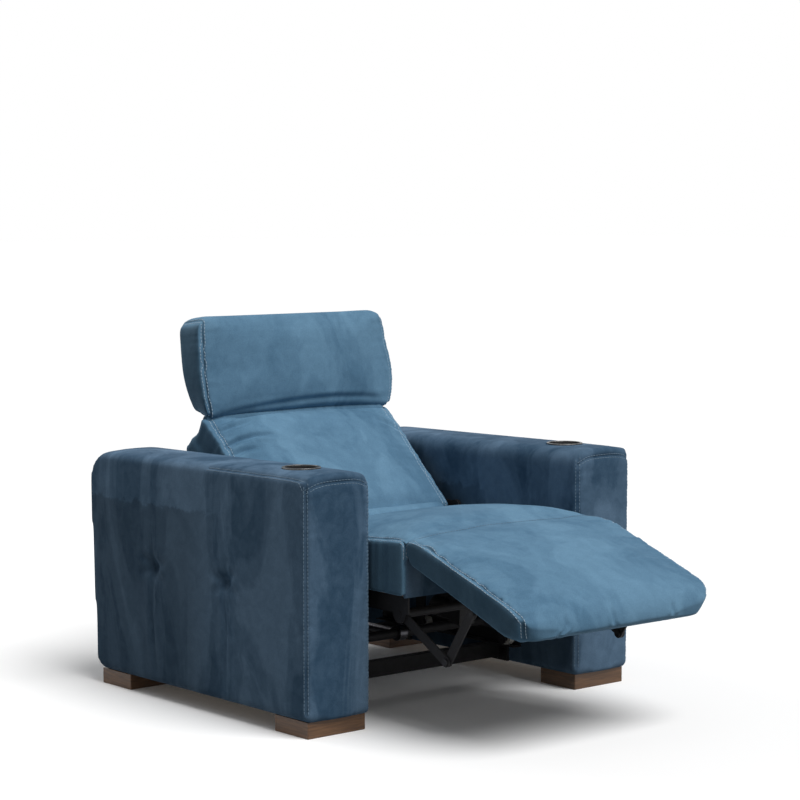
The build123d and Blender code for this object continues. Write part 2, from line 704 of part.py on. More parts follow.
def switch_housing(gap):
    """Housing behind the face plate, grown by a gap for its pocket."""
    y = (SWITCH_Y - SWITCH_L / 2 + SWITCH_LIP - gap, SWITCH_Y + SWITCH_L / 2 - SWITCH_LIP + gap)
    z = (SWITCH_Z - SWITCH_H / 2 + SWITCH_LIP - gap, SWITCH_Z + SWITCH_H / 2 - SWITCH_LIP + gap)
    return block((-SWITCH_BACK - gap, -ARM_IN), y, z)


def button_y(index):
    """Place of a button along the panel."""
    return SWITCH_Y + (index - (BUTTON_COUNT - 1) / 2) * BUTTON_PITCH


def button_floor():
    """X of the bottom of a button's bore."""
    return -ARM_IN + SWITCH_PLATE_T + BUTTON_PROUD - BUTTON_LENGTH - 2 * BUTTON_TRAVEL


def button(index):
    """One push button."""
    tip = -ARM_IN + SWITCH_PLATE_T + BUTTON_PROUD
    cap = bar_x((button_y(index), SWITCH_Z), BUTTON_R, (tip - BUTTON_LENGTH, tip))
    return fillet(cap.faces().sort_by(Axis.X)[-1].edges(), BUTTON_EDGE)


# Seat carriage
def side_plate():
    """Left steel plate of the carriage, with legs down to the rollers and a lug for the torque tube."""
    x = (PLATE_X - PLATE_T, PLATE_X)
    plate = block(x, (PLATE_FRONT_Y, PLATE_REAR_Y), (FRAME_Z - PLATE_BAR, FRAME_Z))
    for y in (ROLLER_FRONT_Y, ROLLER_REAR_Y):
        leg = outline([(y - LEG_TIP_R, ROLLER_Z, 0), (y + LEG_TIP_R, ROLLER_Z, 0),
                       (y + LEG_W / 2, FRAME_Z - PLATE_BAR, 0), (y - LEG_W / 2, FRAME_Z - PLATE_BAR, 0)])
        plate += along_x(leg, *x) + bar_x((y, ROLLER_Z), LEG_TIP_R, x)
    lug_r = TORQUE_PIN_R + LEG_TIP_R
    plate += link(CRANK_PIVOT, (CRANK_PIVOT[0], FRAME_Z - lug_r), 2 * lug_r, x)
    for y in (ROLLER_FRONT_Y, ROLLER_REAR_Y):
        plate -= bar_x((y, ROLLER_Z), AXLE_R + RUN, x)
    return plate - bar_x(CRANK_PIVOT, TORQUE_PIN_R + RUN, x)


def roller_axle(y):
    """Stub axle of a left roller."""
    point = (y, ROLLER_Z)
    axle = bar_x(point, AXLE_R, (PLATE_X - PLATE_T, ROLLER_X[1] + FIT))
    axle += bar_x(point, AXLE_HEAD_R, (PLATE_X, ROLLER_X[0] - FIT))
    return axle + bar_x(point, AXLE_HEAD_R, (ROLLER_X[1] + FIT, ROLLER_X[1] + FIT + AXLE_HEAD_T))


def roller(y):
    """Left roller on its axle."""
    point = (y, ROLLER_Z)
    return bar_x(point, ROLLER_R, ROLLER_X) - bar_x(point, AXLE_R + RUN, ROLLER_X)


def carriage_tube(point):
    """Round tube across the carriage."""
    inside = PLATE_X - PLATE_T
    return bar_x(point, CARRIAGE_TUBE_R, (-inside, inside))


def crossbar():
    """Bar under the seat frame with the clevis that carries the back motor."""
    inside = PLATE_X - PLATE_T
    y = (BACK_ACT_Y - CROSSBAR_W / 2, BACK_ACT_Y + CROSSBAR_W / 2)
    bar = block((-inside, inside), y, (FRAME_Z - CROSSBAR_H, FRAME_Z))
    half = ACT_EYE_W / 2 + LINK_GAP
    for near in (BACK_ACT_X - half - CLEVIS_T, BACK_ACT_X + half):
        x = (near, near + CLEVIS_T)
        ear = link(BACK_ACT_PIVOT, (BACK_ACT_Y, FRAME_Z), CLEVIS_W, x)
        bar += ear - block(x, (-REACH, REACH), (FRAME_Z - CROSSBAR_H, REACH))
    return bar - bar_x(BACK_ACT_PIVOT, ACT_PIN_R + RUN, (-REACH, REACH))


def clevis_pin():
    """Pin that the back motor swings on."""
    half = ACT_EYE_W / 2 + LINK_GAP + CLEVIS_T
    pin = bar_x(BACK_ACT_PIVOT, ACT_PIN_R, (BACK_ACT_X - half, BACK_ACT_X + half))
    return pin + bar_x(BACK_ACT_PIVOT, AXLE_HEAD_R, (BACK_ACT_X + half, BACK_ACT_X + half + AXLE_HEAD_T))


def seat_frame():
    """Timber frame under the seat cushion, with a higher front rail."""
    y = (FRAME_FRONT_Y, FRAME_REAR_Y)
    frame = block((-FRAME_HALF, FRAME_HALF), y, (FRAME_Z, FRAME_TOP))
    inner = FRAME_HALF - FRAME_RAIL
    frame -= block((-inner, inner), (y[0] + FRAME_RAIL, y[1] - FRAME_RAIL), (FRAME_Z, FRAME_TOP))
    return frame + block((-FRAME_HALF, FRAME_HALF), (y[0], y[0] + FRAME_RAIL), (FRAME_TOP, FRONT_RAIL_TOP))


def straps(count, half, low, high):
    """Limits of evenly spaced webbing straps between two rails."""
    pitch = (high - low) / count
    width = min(WEB_W, pitch * WEB_SHARE)
    middles = [low + (index + 0.5) * pitch for index in range(count)]
    return [((-half, half), (middle - width / 2, middle + width / 2)) for middle in middles]


def seat_webbing():
    """Elastic straps across the seat frame."""
    inner = FRAME_HALF - FRAME_RAIL
    spans = straps(WEB_COUNT, inner, FRAME_FRONT_Y + FRAME_RAIL, FRAME_REAR_Y - FRAME_RAIL)
    return group([block(x, y, (FRAME_TOP - WEB_T, FRAME_TOP)) for x, y in spans])


def seat_cushion():
    """Crowned seat, with sides that hang over the frame."""
    wide = SEAT_HALF + OVER
    ends = (SEAT_FRONT_Y - OVER, SEAT_REAR_Y + OVER)
    side = outline(
        [(SEAT_FRONT_Y, FRAME_Z, 0), (SEAT_REAR_Y, FRAME_Z, 0),
         (SEAT_REAR_Y, SEAT_REAR_Z, SEAT_EDGE_R), (SEAT_FRONT_Y, SEAT_FRONT_Z, SEAT_EDGE_R)],
        [0, 0, SEAT_CROWN, 0])
    front = outline(
        [(-wide, FRAME_Z - OVER, 0), (wide, FRAME_Z - OVER, 0),
         (wide, SEAT_FRONT_Z, SEAT_EDGE_R), (-wide, SEAT_FRONT_Z, SEAT_EDGE_R)],
        [0, 0, SEAT_CROSS_CROWN, 0])
    plan = outline(
        [(-SEAT_HALF, ends[0], SEAT_EDGE_R), (SEAT_HALF, ends[0], SEAT_EDGE_R),
         (SEAT_HALF, ends[1], SEAT_EDGE_R), (-SEAT_HALF, ends[1], SEAT_EDGE_R)],
        [0, -SEAT_DRAW, 0, -SEAT_DRAW])
    half = FRAME_HALF + FIT
    rail_y = (SEAT_FRONT_Y - FIT, FRAME_FRONT_Y + FRAME_RAIL + FIT)
    cushion = pillow(side, front, plan)
    cushion -= block((-half, half), (rail_y[1], FRAME_REAR_Y + FIT), (FRAME_Z, FRAME_TOP + FIT))
    return cushion - block((-half, half), rail_y, (FRAME_Z, FRONT_RAIL_TOP + FIT))


# Footrest
def hinge_limits(side):
    """X limits of the seat's hinge arm (0) and the two footrest leaves beside it (-1, 1)."""
    if side == 0:
        return (HINGE_ARM_X - HINGE_ARM_T / 2, HINGE_ARM_X + HINGE_ARM_T / 2)
    near = HINGE_ARM_X + side * (HINGE_ARM_T / 2 + FIT)
    return tuple(sorted((near, near + side * LEAF_T)))


def hinge_arm():
    """Left arm that carries the footrest hinge on the seat's front rail."""
    x = hinge_limits(0)
    face = (FRAME_FRONT_Y - HINGE_FLANGE_T, FRAME_FRONT_Y)
    arm = link(FOOT_HINGE, (FRAME_FRONT_Y, FOOT_HINGE[1]), 2 * HINGE_KNUCKLE_R, x)
    arm -= block((-REACH, REACH), (face[0], REACH), (-REACH, REACH))
    flange_x = (HINGE_ARM_X - HINGE_FLANGE_W / 2, HINGE_ARM_X + HINGE_FLANGE_W / 2)
    arm += block(flange_x, face, (FRONT_RAIL_TOP - HINGE_FLANGE_DROP, FRONT_RAIL_TOP))
    return arm - bar_x(FOOT_HINGE, HINGE_PIN_R + RUN, x)


def hinge_pin():
    """Left footrest hinge pin."""
    return bar_x(FOOT_HINGE, HINGE_PIN_R, (hinge_limits(-1)[0] - FIT, hinge_limits(1)[1] + FIT))


def hinge_slot():
    """Room for the left hinge in the footrest's board and cushion, in the footrest's own frame."""
    x = (hinge_limits(-1)[0] - HINGE_SLOT_ROOM, hinge_limits(1)[1] + HINGE_SLOT_ROOM)
    y = (-HINGE_U - HINGE_KNUCKLE_R - HINGE_SLOT_ROOM, HINGE_KNUCKLE_R)
    return block(x, y, (-REACH, -HINGE_N + HINGE_KNUCKLE_R + HINGE_SLOT_ROOM))


def fold_board_limits(gap):
    """Limits of the footrest's board in its own frame, grown by a gap."""
    x = (-FOLD_BOARD_HALF - gap, FOLD_BOARD_HALF + gap)
    y = (-FOLD_BOARD_TOE - gap, -FOLD_BOARD_REAR + gap)
    return x, y, (-FOOTREST_REAR_T, -FOOTREST_REAR_T + FOLD_BOARD_T + gap)


def footrest_board():
    """Plywood board under the footrest cushion."""
    board = block(*fold_board_limits(0.0))
    return leaning(*FOOTREST_AT) * (board - hinge_slot() - flipped(hinge_slot()))


def footrest_cushion():
    """Footrest pad: crowned top, rolled toe and drawn-in sides."""
    toe = -FOOTREST_LENGTH
    wide = FOOTREST_HALF + OVER
    under = -FOOTREST_TOE_T - OVER
    side = outline(
        [(-FOOTREST_REAR_CUT, -FOOTREST_REAR_T, FOOTREST_HEEL_R), (0, 0, FOOTREST_REAR_R),
         (toe, FOOTREST_TOE_RISE, TOE_R), (toe, -FOOTREST_TOE_T, TOE_R)],
        [0, FOOTREST_CROWN, FOOTREST_TOE_BULGE, 0])
    front = outline(
        [(-wide, under, FOOTREST_EDGE_R), (wide, under, FOOTREST_EDGE_R),
         (wide, FOOTREST_TOE_RISE, FOOTREST_EDGE_R), (-wide, FOOTREST_TOE_RISE, FOOTREST_EDGE_R)],
        [0, 0, FOOTREST_CROWN + CROSS_RISE, 0])
    plan = outline(
        [(-FOOTREST_HALF, toe, TOE_R), (FOOTREST_HALF, toe, TOE_R),
         (FOOTREST_HALF, OVER, FOOTREST_REAR_R), (-FOOTREST_HALF, OVER, FOOTREST_REAR_R)],
        [FOOTREST_TOE_BULGE + CROSS_RISE, -FOOTREST_DRAW, 0, -FOOTREST_DRAW])
    x, y, z = fold_board_limits(FIT)
    pad = pillow(side, front, plan) - block(x, y, (-REACH, z[1]))
    return leaning(*FOOTREST_AT) * (pad - hinge_slot() - flipped(hinge_slot()))


def hinge_leaf(side):
    """Footrest leaf of the left hinge, screwed under the board."""
    x = hinge_limits(side)
    under = (-FOOTREST_REAR_T - HINGE_KNUCKLE_R, -FOOTREST_REAR_T)
    leaf = bar_x((-HINGE_U, -HINGE_N), HINGE_KNUCKLE_R, x)
    leaf += block(x, (-HINGE_U - LEAF_REACH, -HINGE_U), under)
    leaf -= block(*fold_board_limits(0.0)) - hinge_slot()
    return leaning(*FOOTREST_AT) * (leaf - bar_x((-HINGE_U, -HINGE_N), HINGE_PIN_R + RUN, x))


def link_lug():
    """Left lug under the footrest board that the coupler hangs on."""
    lug = link((-LINK_U, -LINK_N), (-LINK_U, -FOOTREST_REAR_T), LINK_W, LUG_X)
    foot_y = (-LINK_U - LUG_W / 2, -LINK_U + LUG_W / 2)
    lug += block(LUG_X, foot_y, (-FOOTREST_REAR_T - LUG_FOOT_H, -FOOTREST_REAR_T))
    lug -= block((-REACH, REACH), (-REACH, REACH), (-FOOTREST_REAR_T, REACH))
    return leaning(*FOOTREST_AT) * (lug - bar_x((-LINK_U, -LINK_N), LINK_PIN_R + RUN, LUG_X))


def link_pin():
    """Left pin between the lug and the coupler."""
    pin = bar_x(LINK_PIVOT, LINK_PIN_R, (LUG_X[0], COUPLER_X[1]))
    return pin + bar_x(LINK_PIVOT, LINK_HEAD_R, (LUG_X[0] - LINK_HEAD_T, LUG_X[0]))


# Footrest links
def torque_tube():
    """Shaft across the carriage that swings both cranks."""
    tube = bar_x(CRANK_PIVOT, TORQUE_R, (-CRANK_X[1], CRANK_X[1]))
    return tube + bar_x(CRANK_PIVOT, TORQUE_PIN_R, (-PLATE_X - LINK_GAP, PLATE_X + LINK_GAP))


def crank():
    """Left crank, from the torque tube to the knee."""
    arm = link(CRANK_PIVOT, KNEE, LINK_W, CRANK_X) + bar_x(CRANK_PIVOT, TORQUE_R + LINK_T, CRANK_X)
    arm -= bar_x(CRANK_PIVOT, TORQUE_R + RUN, CRANK_X)
    return arm - bar_x(KNEE, LINK_PIN_R + FIT, CRANK_X)


def coupler():
    """Left coupler, from the knee up to the footrest."""
    bar = link(KNEE, LINK_PIVOT, LINK_W, COUPLER_X)
    return bar - bar_x(LINK_PIVOT, LINK_PIN_R + RUN, COUPLER_X) - bar_x(KNEE, LINK_PIN_R + RUN, COUPLER_X)


def knee_bolt():
    """Left bolt through the knee, fixed in the coupler."""
    bolt = bar_x(KNEE, LINK_PIN_R, (COUPLER_X[0], CRANK_X[1] + FIT))
    bolt += bar_x(KNEE, LINK_HEAD_R, (COUPLER_X[0] - LINK_HEAD_T, COUPLER_X[0]))
    return bolt + bar_x(KNEE, LINK_HEAD_R, (CRANK_X[1] + FIT, CRANK_X[1] + FIT + LINK_HEAD_T))


# Back
def recline_bracket():
    """Left upright of the carriage that carries the back's pivot, outside the seat cushion."""
    y = (BACK_Y - BRACKET_REACH, BACK_Y + RECLINE_KNUCKLE_R)
    foot_top = FRAME_Z - BRACKET_FOOT_DROP
    foot_z = (foot_top - BRACKET_FOOT_T, foot_top)
    bracket = block((PLATE_X, BRACKET_X[1]), y, foot_z)
    bracket += block(BRACKET_X, y, (foot_z[0], BACK_Z)) + bar_x(RECLINE_AXIS, RECLINE_KNUCKLE_R, BRACKET_X)
    return bracket - bar_x(RECLINE_AXIS, RECLINE_PIN_R + RUN, BRACKET_X)


def recline_pin():
    """Left pivot pin of the back, fixed in the carriage's bracket."""
    pin = bar_x(RECLINE_AXIS, RECLINE_PIN_R, (BACK_PLATE_X[0], BRACKET_X[1]))
    return pin + bar_x(RECLINE_AXIS, RECLINE_HEAD_R, (BRACKET_X[1], BRACKET_X[1] + RECLINE_HEAD_T))


def recline_plate():
    """Left steel plate of the back, from its frame to the pivot."""
    depth = (BACK_FRAME_REAR, BACK_FRAME_FACE)
    arm = outline([(0, RECLINE_KNUCKLE_R, 0), (0, -RECLINE_KNUCKLE_R, 0), (STANDOFF_LOW, depth[0], 0),
                   (STANDOFF_HIGH, depth[0], 0), (STANDOFF_HIGH, depth[1], 0)][::-1])
    plate = along_x(arm, *BACK_PLATE_X) + bar_x((0, 0), RECLINE_KNUCKLE_R, BACK_PLATE_X)
    plate += block((BACK_HALF, BACK_PLATE_X[0]), (STANDOFF_LOW, STANDOFF_HIGH), depth)
    return leaning(*BACK_AT) * (plate - bar_x((0, 0), RECLINE_PIN_R + RUN, BACK_PLATE_X))


def back_frame_block():
    """Outside of the back's timber frame, in the back's own frame."""
    depth = (BACK_FRAME_REAR, BACK_FRAME_FACE)
    return block((-BACK_HALF, BACK_HALF), (BACK_FRAME_START, BACK_FRAME_END), depth)


def back_frame():
    """Timber frame behind the back cushion."""
    inner = BACK_HALF - BACK_RAIL
    opening = block((-inner, inner), (BACK_FRAME_START + BACK_RAIL, BACK_FRAME_END - BACK_RAIL),
                    (BACK_FRAME_REAR, BACK_FRAME_FACE))
    return leaning(*BACK_AT) * (back_frame_block() - opening)


def back_webbing():
    """Elastic straps across the back's frame."""
    inner = BACK_HALF - BACK_RAIL
    spans = straps(BACK_WEB_COUNT, inner, BACK_FRAME_START + BACK_RAIL, BACK_FRAME_END - BACK_RAIL)
    bands = group([block(x, y, (BACK_FRAME_FACE - WEB_T, BACK_FRAME_FACE)) for x, y in spans])
    return leaning(*BACK_AT) * bands


def head_axis_on_back():
    """The headrest shaft in the back's own frame."""
    return local(*BACK_AT, HEAD_AXIS)


def head_axis_on_head():
    """The headrest shaft in the headrest's own frame."""
    return local(*HEAD_AT, HEAD_AXIS)


def shaft_bracket(width, gap):
    """Left bracket on the back's top rail that holds the headrest shaft; gap grows it for its slot."""
    x = (ARM_PLATE_X - FIT - ARM_PLATE_T - gap, ARM_PLATE_X - FIT + gap)
    rail = (BACK_FRAME_END - SHAFT_KNUCKLE_R, BACK_FRAME_FACE - SHAFT_KNUCKLE_R)
    return link(head_axis_on_back(), rail, width, x)


def shaft_brackets():
    """Both headrest shaft brackets."""
    bracket = shaft_bracket(ARM_PLATE_W, 0.0) - back_frame_block()
    bracket -= bar_x(head_axis_on_back(), SHAFT_R + RUN, (-REACH, REACH))
    return leaning(*BACK_AT) * both(bracket)


def head_motor_y():
    """Middle of the headrest motor's can, up the back."""
    return head_axis_on_back()[0] - GEAR_CASE_R - HEAD_MOTOR_R / 2


def headrest_motor():
    """Geared motor on the back's top rail; its case runs round the headrest shaft."""
    axis = head_axis_on_back()
    case_x = (-GEAR_CASE_L / 2, GEAR_CASE_L / 2)
    motor = bar_z(0, head_motor_y(), HEAD_MOTOR_R, (BACK_FRAME_FACE, axis[1]))
    motor += bar_x(axis, GEAR_CASE_R, case_x)
    return leaning(*BACK_AT) * (motor - bar_x(axis, SHAFT_R + RUN, case_x))


def back_cushion():
    """Back pad: crowned front, drawn-in sides, and pockets for the headrest's hinge."""
    wide = BACK_HALF + OVER
    ends = (BACK_START - OVER, BACK_LENGTH + OVER)
    side = outline(
        [(BACK_START, -BACK_T, 0), (BACK_START, 0, BACK_EDGE_R), (BACK_LENGTH, 0, BACK_EDGE_R),
         (BACK_LENGTH, -BACK_T, 0)][::-1],
        [0, BACK_CROWN, 0, 0])
    front = outline(
        [(-wide, -BACK_T - OVER, 0), (wide, -BACK_T - OVER, 0),
         (wide, 0, BACK_EDGE_R), (-wide, 0, BACK_EDGE_R)],
        [0, 0, BACK_CROWN + CROSS_RISE, 0])
    plan = outline(
        [(-BACK_HALF, ends[0], BACK_EDGE_R), (BACK_HALF, ends[0], BACK_EDGE_R),
         (BACK_HALF, ends[1], BACK_EDGE_R), (-BACK_HALF, ends[1], BACK_EDGE_R)],
        [0, -BACK_DRAW, 0, -BACK_DRAW])
    axis = head_axis_on_back()
    pad = pillow(side, front, plan)
    slot = shaft_bracket(ARM_PLATE_W + 2 * HINGE_SLOT_ROOM, HINGE_SLOT_ROOM)
    knuckle_x = (ARM_PLATE_X, ARM_PLATE_X + ARM_PLATE_T + HINGE_SLOT_ROOM)
    knuckle = bar_x(axis, SHAFT_KNUCKLE_R + HINGE_SLOT_ROOM, knuckle_x)
    pocket_half = GEAR_CASE_L / 2 + HINGE_SLOT_ROOM
    pocket_low = head_motor_y() - HEAD_MOTOR_R - HINGE_SLOT_ROOM
    pocket_high = axis[1] + GEAR_CASE_R + HINGE_SLOT_ROOM
    pocket = block((-pocket_half, pocket_half), (pocket_low, REACH), (-REACH, pocket_high))
    pad = pad - slot - flipped(slot) - knuckle - flipped(knuckle) - pocket
    return leaning(*BACK_AT) * pad


def back_outer():
    """Upholstered panel over the back of the frame."""
    high = BACK_FRAME_REAR - FIT
    wide = BACK_HALF + OVER
    ends = (OUTER_START - OVER, BACK_LENGTH + OVER)
    side = outline([(OUTER_START, high, 0), (OUTER_START, high - OUTER_T, OUTER_R),
                    (BACK_LENGTH, high - OUTER_T, OUTER_R), (BACK_LENGTH, high, 0)],
                   [0, OUTER_CROWN, 0, 0])
    front = outline([(-wide, high - OUTER_T, OUTER_R), (wide, high - OUTER_T, OUTER_R),
                     (wide, high + OVER, 0), (-wide, high + OVER, 0)], [OUTER_CROWN + CROSS_RISE, 0, 0, 0])
    plan = outline([(-BACK_HALF, ends[0], OUTER_R), (BACK_HALF, ends[0], OUTER_R),
                    (BACK_HALF, ends[1], BACK_EDGE_R), (-BACK_HALF, ends[1], BACK_EDGE_R)])
    return leaning(*BACK_AT) * pillow(side, front, plan)


# Back motor, between the carriage's crossbar and the back
def back_drive_x():
    """X limits of the back's drive bracket, beside the rod's eye."""
    near = BACK_ACT_X + ACT_EYE_W / 2 + LINK_GAP
    return (near, near + HINGE_ARM_T)


def back_drive():
    """Bracket below the back's frame that the back motor turns."""
    x = back_drive_x()
    pin = local(*BACK_AT, crank_pin(0.0))
    rail = (BACK_FRAME_START + BACK_RAIL / 2, (BACK_FRAME_FACE + BACK_FRAME_REAR) / 2)
    bracket = link(pin, rail, LINK_W, x) - block(x, (BACK_FRAME_START, REACH), (-REACH, REACH))
    return leaning(*BACK_AT) * (bracket - bar_x(pin, ACT_PIN_R + RUN, x))


def back_drive_pin():
    """Pin of the drive bracket, through the rod's eye."""
    point = crank_pin(0.0)
    low = BACK_ACT_X - ACT_EYE_W / 2 - LINK_GAP
    pin = bar_x(point, ACT_PIN_R, (low, back_drive_x()[1]))
    return pin + bar_x(point, ACT_PIN_R + ACT_EYE_PLAY + LINK_GAP, (low - AXLE_HEAD_T, low))


def back_motor_frame():
    """Location whose Y runs along the back motor from its pivot."""
    return leaning(*BACK_ACT_PIVOT, 90.0 - BACK_ACT_SLOPE, BACK_ACT_X)


def back_tube():
    """Outer tube, eye and gear head of the back motor."""
    half = ACT_EYE_W / 2
    tube = bar_y(0, 0, BACK_TUBE_R, (BACK_TUBE_START, BACK_TUBE_END))
    tube += link((0, 0), (BACK_TUBE_START, 0), 2 * ACT_EYE_R, (-half, half))
    head_y = (BACK_TUBE_START, BACK_TUBE_START + MOTOR_L / 2)
    tube += block((-MOTOR_R, MOTOR_R), head_y, (-BACK_TUBE_R - 2 * MOTOR_R, 0))
    tube -= bar_y(0, 0, BACK_ROD_R + RUN, (BACK_ROD_START - HINGE_SLOT_ROOM, BACK_TUBE_END))
    return back_motor_frame() * (tube - bar_x((0, 0), ACT_PIN_R + RUN, (-half, half)))


def back_motor():
    """Motor can on the back motor's gear head."""
    front = BACK_TUBE_START + MOTOR_L / 2
    return back_motor_frame() * bar_y(0, -BACK_TUBE_R - MOTOR_R, MOTOR_R - FIT, (front, front + MOTOR_L))


def back_rod():
    """Rod of the back motor, with a roomy eye where the loop is open."""
    half = ACT_EYE_W / 2
    eye = bar_x((BACK_ACT_LENGTH, 0), ACT_EYE_R, (-half, half))
    rod = eye + bar_y(0, 0, BACK_ROD_R, (BACK_ROD_START, BACK_ACT_LENGTH))
    return back_motor_frame() * (rod - bar_x((BACK_ACT_LENGTH, 0), ACT_PIN_R + ACT_EYE_PLAY, (-half, half)))


# Headrest
def head_board_block(gap):
    """Outside of the headrest's board in its own frame, grown by a gap."""
    x = (-HEAD_BOARD_HALF - gap, HEAD_BOARD_HALF + gap)
    y = (HEAD_BOARD_LOW - gap, HEAD_BOARD_HIGH + gap)
    return block(x, y, (-HEAD_BOARD_DEPTH - HEAD_BOARD_T - gap, -HEAD_BOARD_DEPTH + gap))


def headrest_board():
    """Plywood board inside the headrest."""
    return leaning(*HEAD_AT) * head_board_block(0.0)


def head_arm(width, gap):
    """Left arm from the headrest's board to its shaft; gap grows it for its slot."""
    x = (ARM_PLATE_X - gap, ARM_PLATE_X + ARM_PLATE_T + gap)
    top = (HEAD_BOARD_LOW + ARM_PLATE_W, -HEAD_BOARD_DEPTH - HEAD_BOARD_T / 2)
    return link(head_axis_on_head(), top, width, x)


def headrest_arms():
    """Both arms of the headrest."""
    arm = head_arm(ARM_PLATE_W, 0.0) - head_board_block(0.0)
    arm = arm.solids().sort_by_distance((ARM_PLATE_X, *head_axis_on_head()))[0]
    arm -= bar_x(head_axis_on_head(), SHAFT_R + RUN, (-REACH, REACH))
    return leaning(*HEAD_AT) * both(arm)


def headrest_shaft():
    """Shaft that the headrest turns on."""
    end = ARM_PLATE_X + ARM_PLATE_T + LINK_GAP
    return bar_x(HEAD_AXIS, SHAFT_R, (-end, end))


def headrest_cushion():
    """Headrest pad, crowned front and back."""
    wide = HEAD_HALF + HEAD_SWELL + OVER
    ends = (-OVER, HEAD_HEIGHT + OVER)
    side = outline(
        [(0, -HEAD_T, HEAD_NAPE_R), (0, 0, HEAD_EDGE_R), (HEAD_HEIGHT, 0, HEAD_EDGE_R),
         (HEAD_HEIGHT, -HEAD_T, HEAD_EDGE_R)][::-1],
        [0, HEAD_CROWN, 0, HEAD_REAR_CROWN])
    front = outline(
        [(-wide, -HEAD_T, HEAD_EDGE_R), (wide, -HEAD_T, HEAD_EDGE_R),
         (wide, 0, HEAD_EDGE_R), (-wide, 0, HEAD_EDGE_R)],
        [HEAD_REAR_CROWN + CROSS_RISE, 0, HEAD_CROWN + CROSS_RISE, 0])
    plan = outline(
        [(-HEAD_HALF, ends[0], HEAD_EDGE_R), (HEAD_HALF, ends[0], HEAD_EDGE_R),
         (HEAD_HALF, ends[1], HEAD_EDGE_R), (-HEAD_HALF, ends[1], HEAD_EDGE_R)],
        [0, HEAD_SWELL, 0, HEAD_SWELL])
    axis = head_axis_on_head()
    slot = head_arm(ARM_PLATE_W + 2 * HINGE_SLOT_ROOM, HINGE_SLOT_ROOM)
    bracket_x = (ARM_PLATE_X - ARM_PLATE_T - HINGE_SLOT_ROOM, ARM_PLATE_X)
    bracket = bar_x(axis, SHAFT_KNUCKLE_R + HINGE_SLOT_ROOM, bracket_x)
    half = GEAR_CASE_L / 2 + HINGE_SLOT_ROOM
    case = bar_x(axis, GEAR_CASE_R + HINGE_SLOT_ROOM, (-half, half))
    pad = pillow(side, front, plan) - head_board_block(FIT)
    pad = pad - slot - flipped(slot) - bracket - flipped(bracket) - case
    return leaning(*HEAD_AT) * pad


# Every node, by the body that it moves with
def right_arm_cover():
    """The right arm's cover has the pocket of the hand control."""
    return flipped(arm_cover()) - switch_housing(FIT)


def build():
    """All nodes of the chair, as body name to node name to shape."""
    base = {
        "left_arm_frame": arm_frame(), "right_arm_frame": flipped(arm_frame()),
        "left_arm_cover": arm_cover(), "right_arm_cover": right_arm_cover(),
        "cup_wells": both(cup()), "cup_rims": both(cup_rim()),
        "feet": both(group([foot(True), foot(False)])),
        "foot_screws": both(group(foot_screws(SCREW_R, True))),
        "cross_tubes": group([cross_tube(TUBE_FRONT_Y), cross_tube(TUBE_REAR_Y)]),
        "flange_bolts": both(group(flange_bolts(BOLT_R, True))),
        "roller_tracks": both(track()),
        "rear_panel": rear_panel(), "power_inlet": power_inlet(), "control_box": control_box(),
        "leg_motor_tube": leg_tube(), "leg_motor_can": leg_motor(), "leg_motor_post": leg_post(),
        "switch_panel": switch_panel(),
    }
    carriage = {
        "side_plates": both(side_plate()),
        "roller_axles": both(group([roller_axle(ROLLER_FRONT_Y), roller_axle(ROLLER_REAR_Y)])),
        "carriage_tubes": group([carriage_tube((ROLLER_FRONT_Y, CARRIAGE_TUBE_Z)),
                                 carriage_tube((REAR_TUBE_Y, REAR_TUBE_Z))]),
        "carriage_crossbar": crossbar(),
        "leg_motor_rod": leg_rod(),
        "seat_frame": seat_frame(), "seat_webbing": seat_webbing(), "seat_cushion": seat_cushion(),
        "footrest_hinge_arms": both(hinge_arm()), "recline_brackets": both(recline_bracket()),
        "carriage_pins": group([both(hinge_pin()), both(recline_pin()), clevis_pin()]),
    }
    footrest = {
        "footrest_board": footrest_board(), "footrest_cushion": footrest_cushion(),
        "footrest_hinge_leaves": both(group([hinge_leaf(-1), hinge_leaf(1)])),
        "footrest_link_lugs": both(link_lug()), "footrest_link_pins": both(link_pin()),
    }
    back = {
        "back_frame": back_frame(), "back_webbing": back_webbing(), "back_cushion": back_cushion(),
        "back_outer_panel": back_outer(), "recline_plates": both(recline_plate()),
        "headrest_shaft_brackets": shaft_brackets(), "headrest_motor": headrest_motor(),
        "back_drive_bracket": back_drive(), "back_drive_pin": back_drive_pin(),
    }
    bodies = {
        "base": base, "seat_carriage": carriage, "footrest": footrest, "back": back,
        "front_rollers": {"front_roller_pair": both(roller(ROLLER_FRONT_Y))},
        "rear_rollers": {"rear_roller_pair": both(roller(ROLLER_REAR_Y))},
        "cranks": {"torque_tube": torque_tube(), "footrest_cranks": both(crank())},
        "couplers": {"footrest_couplers": both(coupler()), "knee_bolts": both(knee_bolt())},
        "back_motor": {"back_motor_tube": back_tube(), "back_motor_can": back_motor()},
        "back_rod": {"back_motor_rod": back_rod()},
        "headrest": {"headrest_board": headrest_board(), "headrest_arms": headrest_arms(),
                     "headrest_shaft": headrest_shaft(), "headrest_cushion": headrest_cushion()},
    }
    for index in range(BUTTON_COUNT):
        bodies[f"button_{index + 1}"] = {f"control_button_{index + 1}": button(index)}
    return bodies


BODIES = build()
WHOLE = Compound([shape for nodes in BODIES.values() for shape in nodes.values()]).bounding_box()
CENTRE_Y = (WHOLE.min.Y + WHOLE.max.Y) / 2

os.makedirs("parts", exist_ok=True)
for nodes in BODIES.values():
    for name, shape in nodes.items():
        export_step(Pos(0, -CENTRE_Y, 0) * shape, f"parts/{name}.step")
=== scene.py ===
"""Dresses the power recliner: velvet upholstery, topstitching, walnut feet and a black steel mechanism."""

import json
import logging
import math
from dataclasses import dataclass, field, replace
from enum import Enum

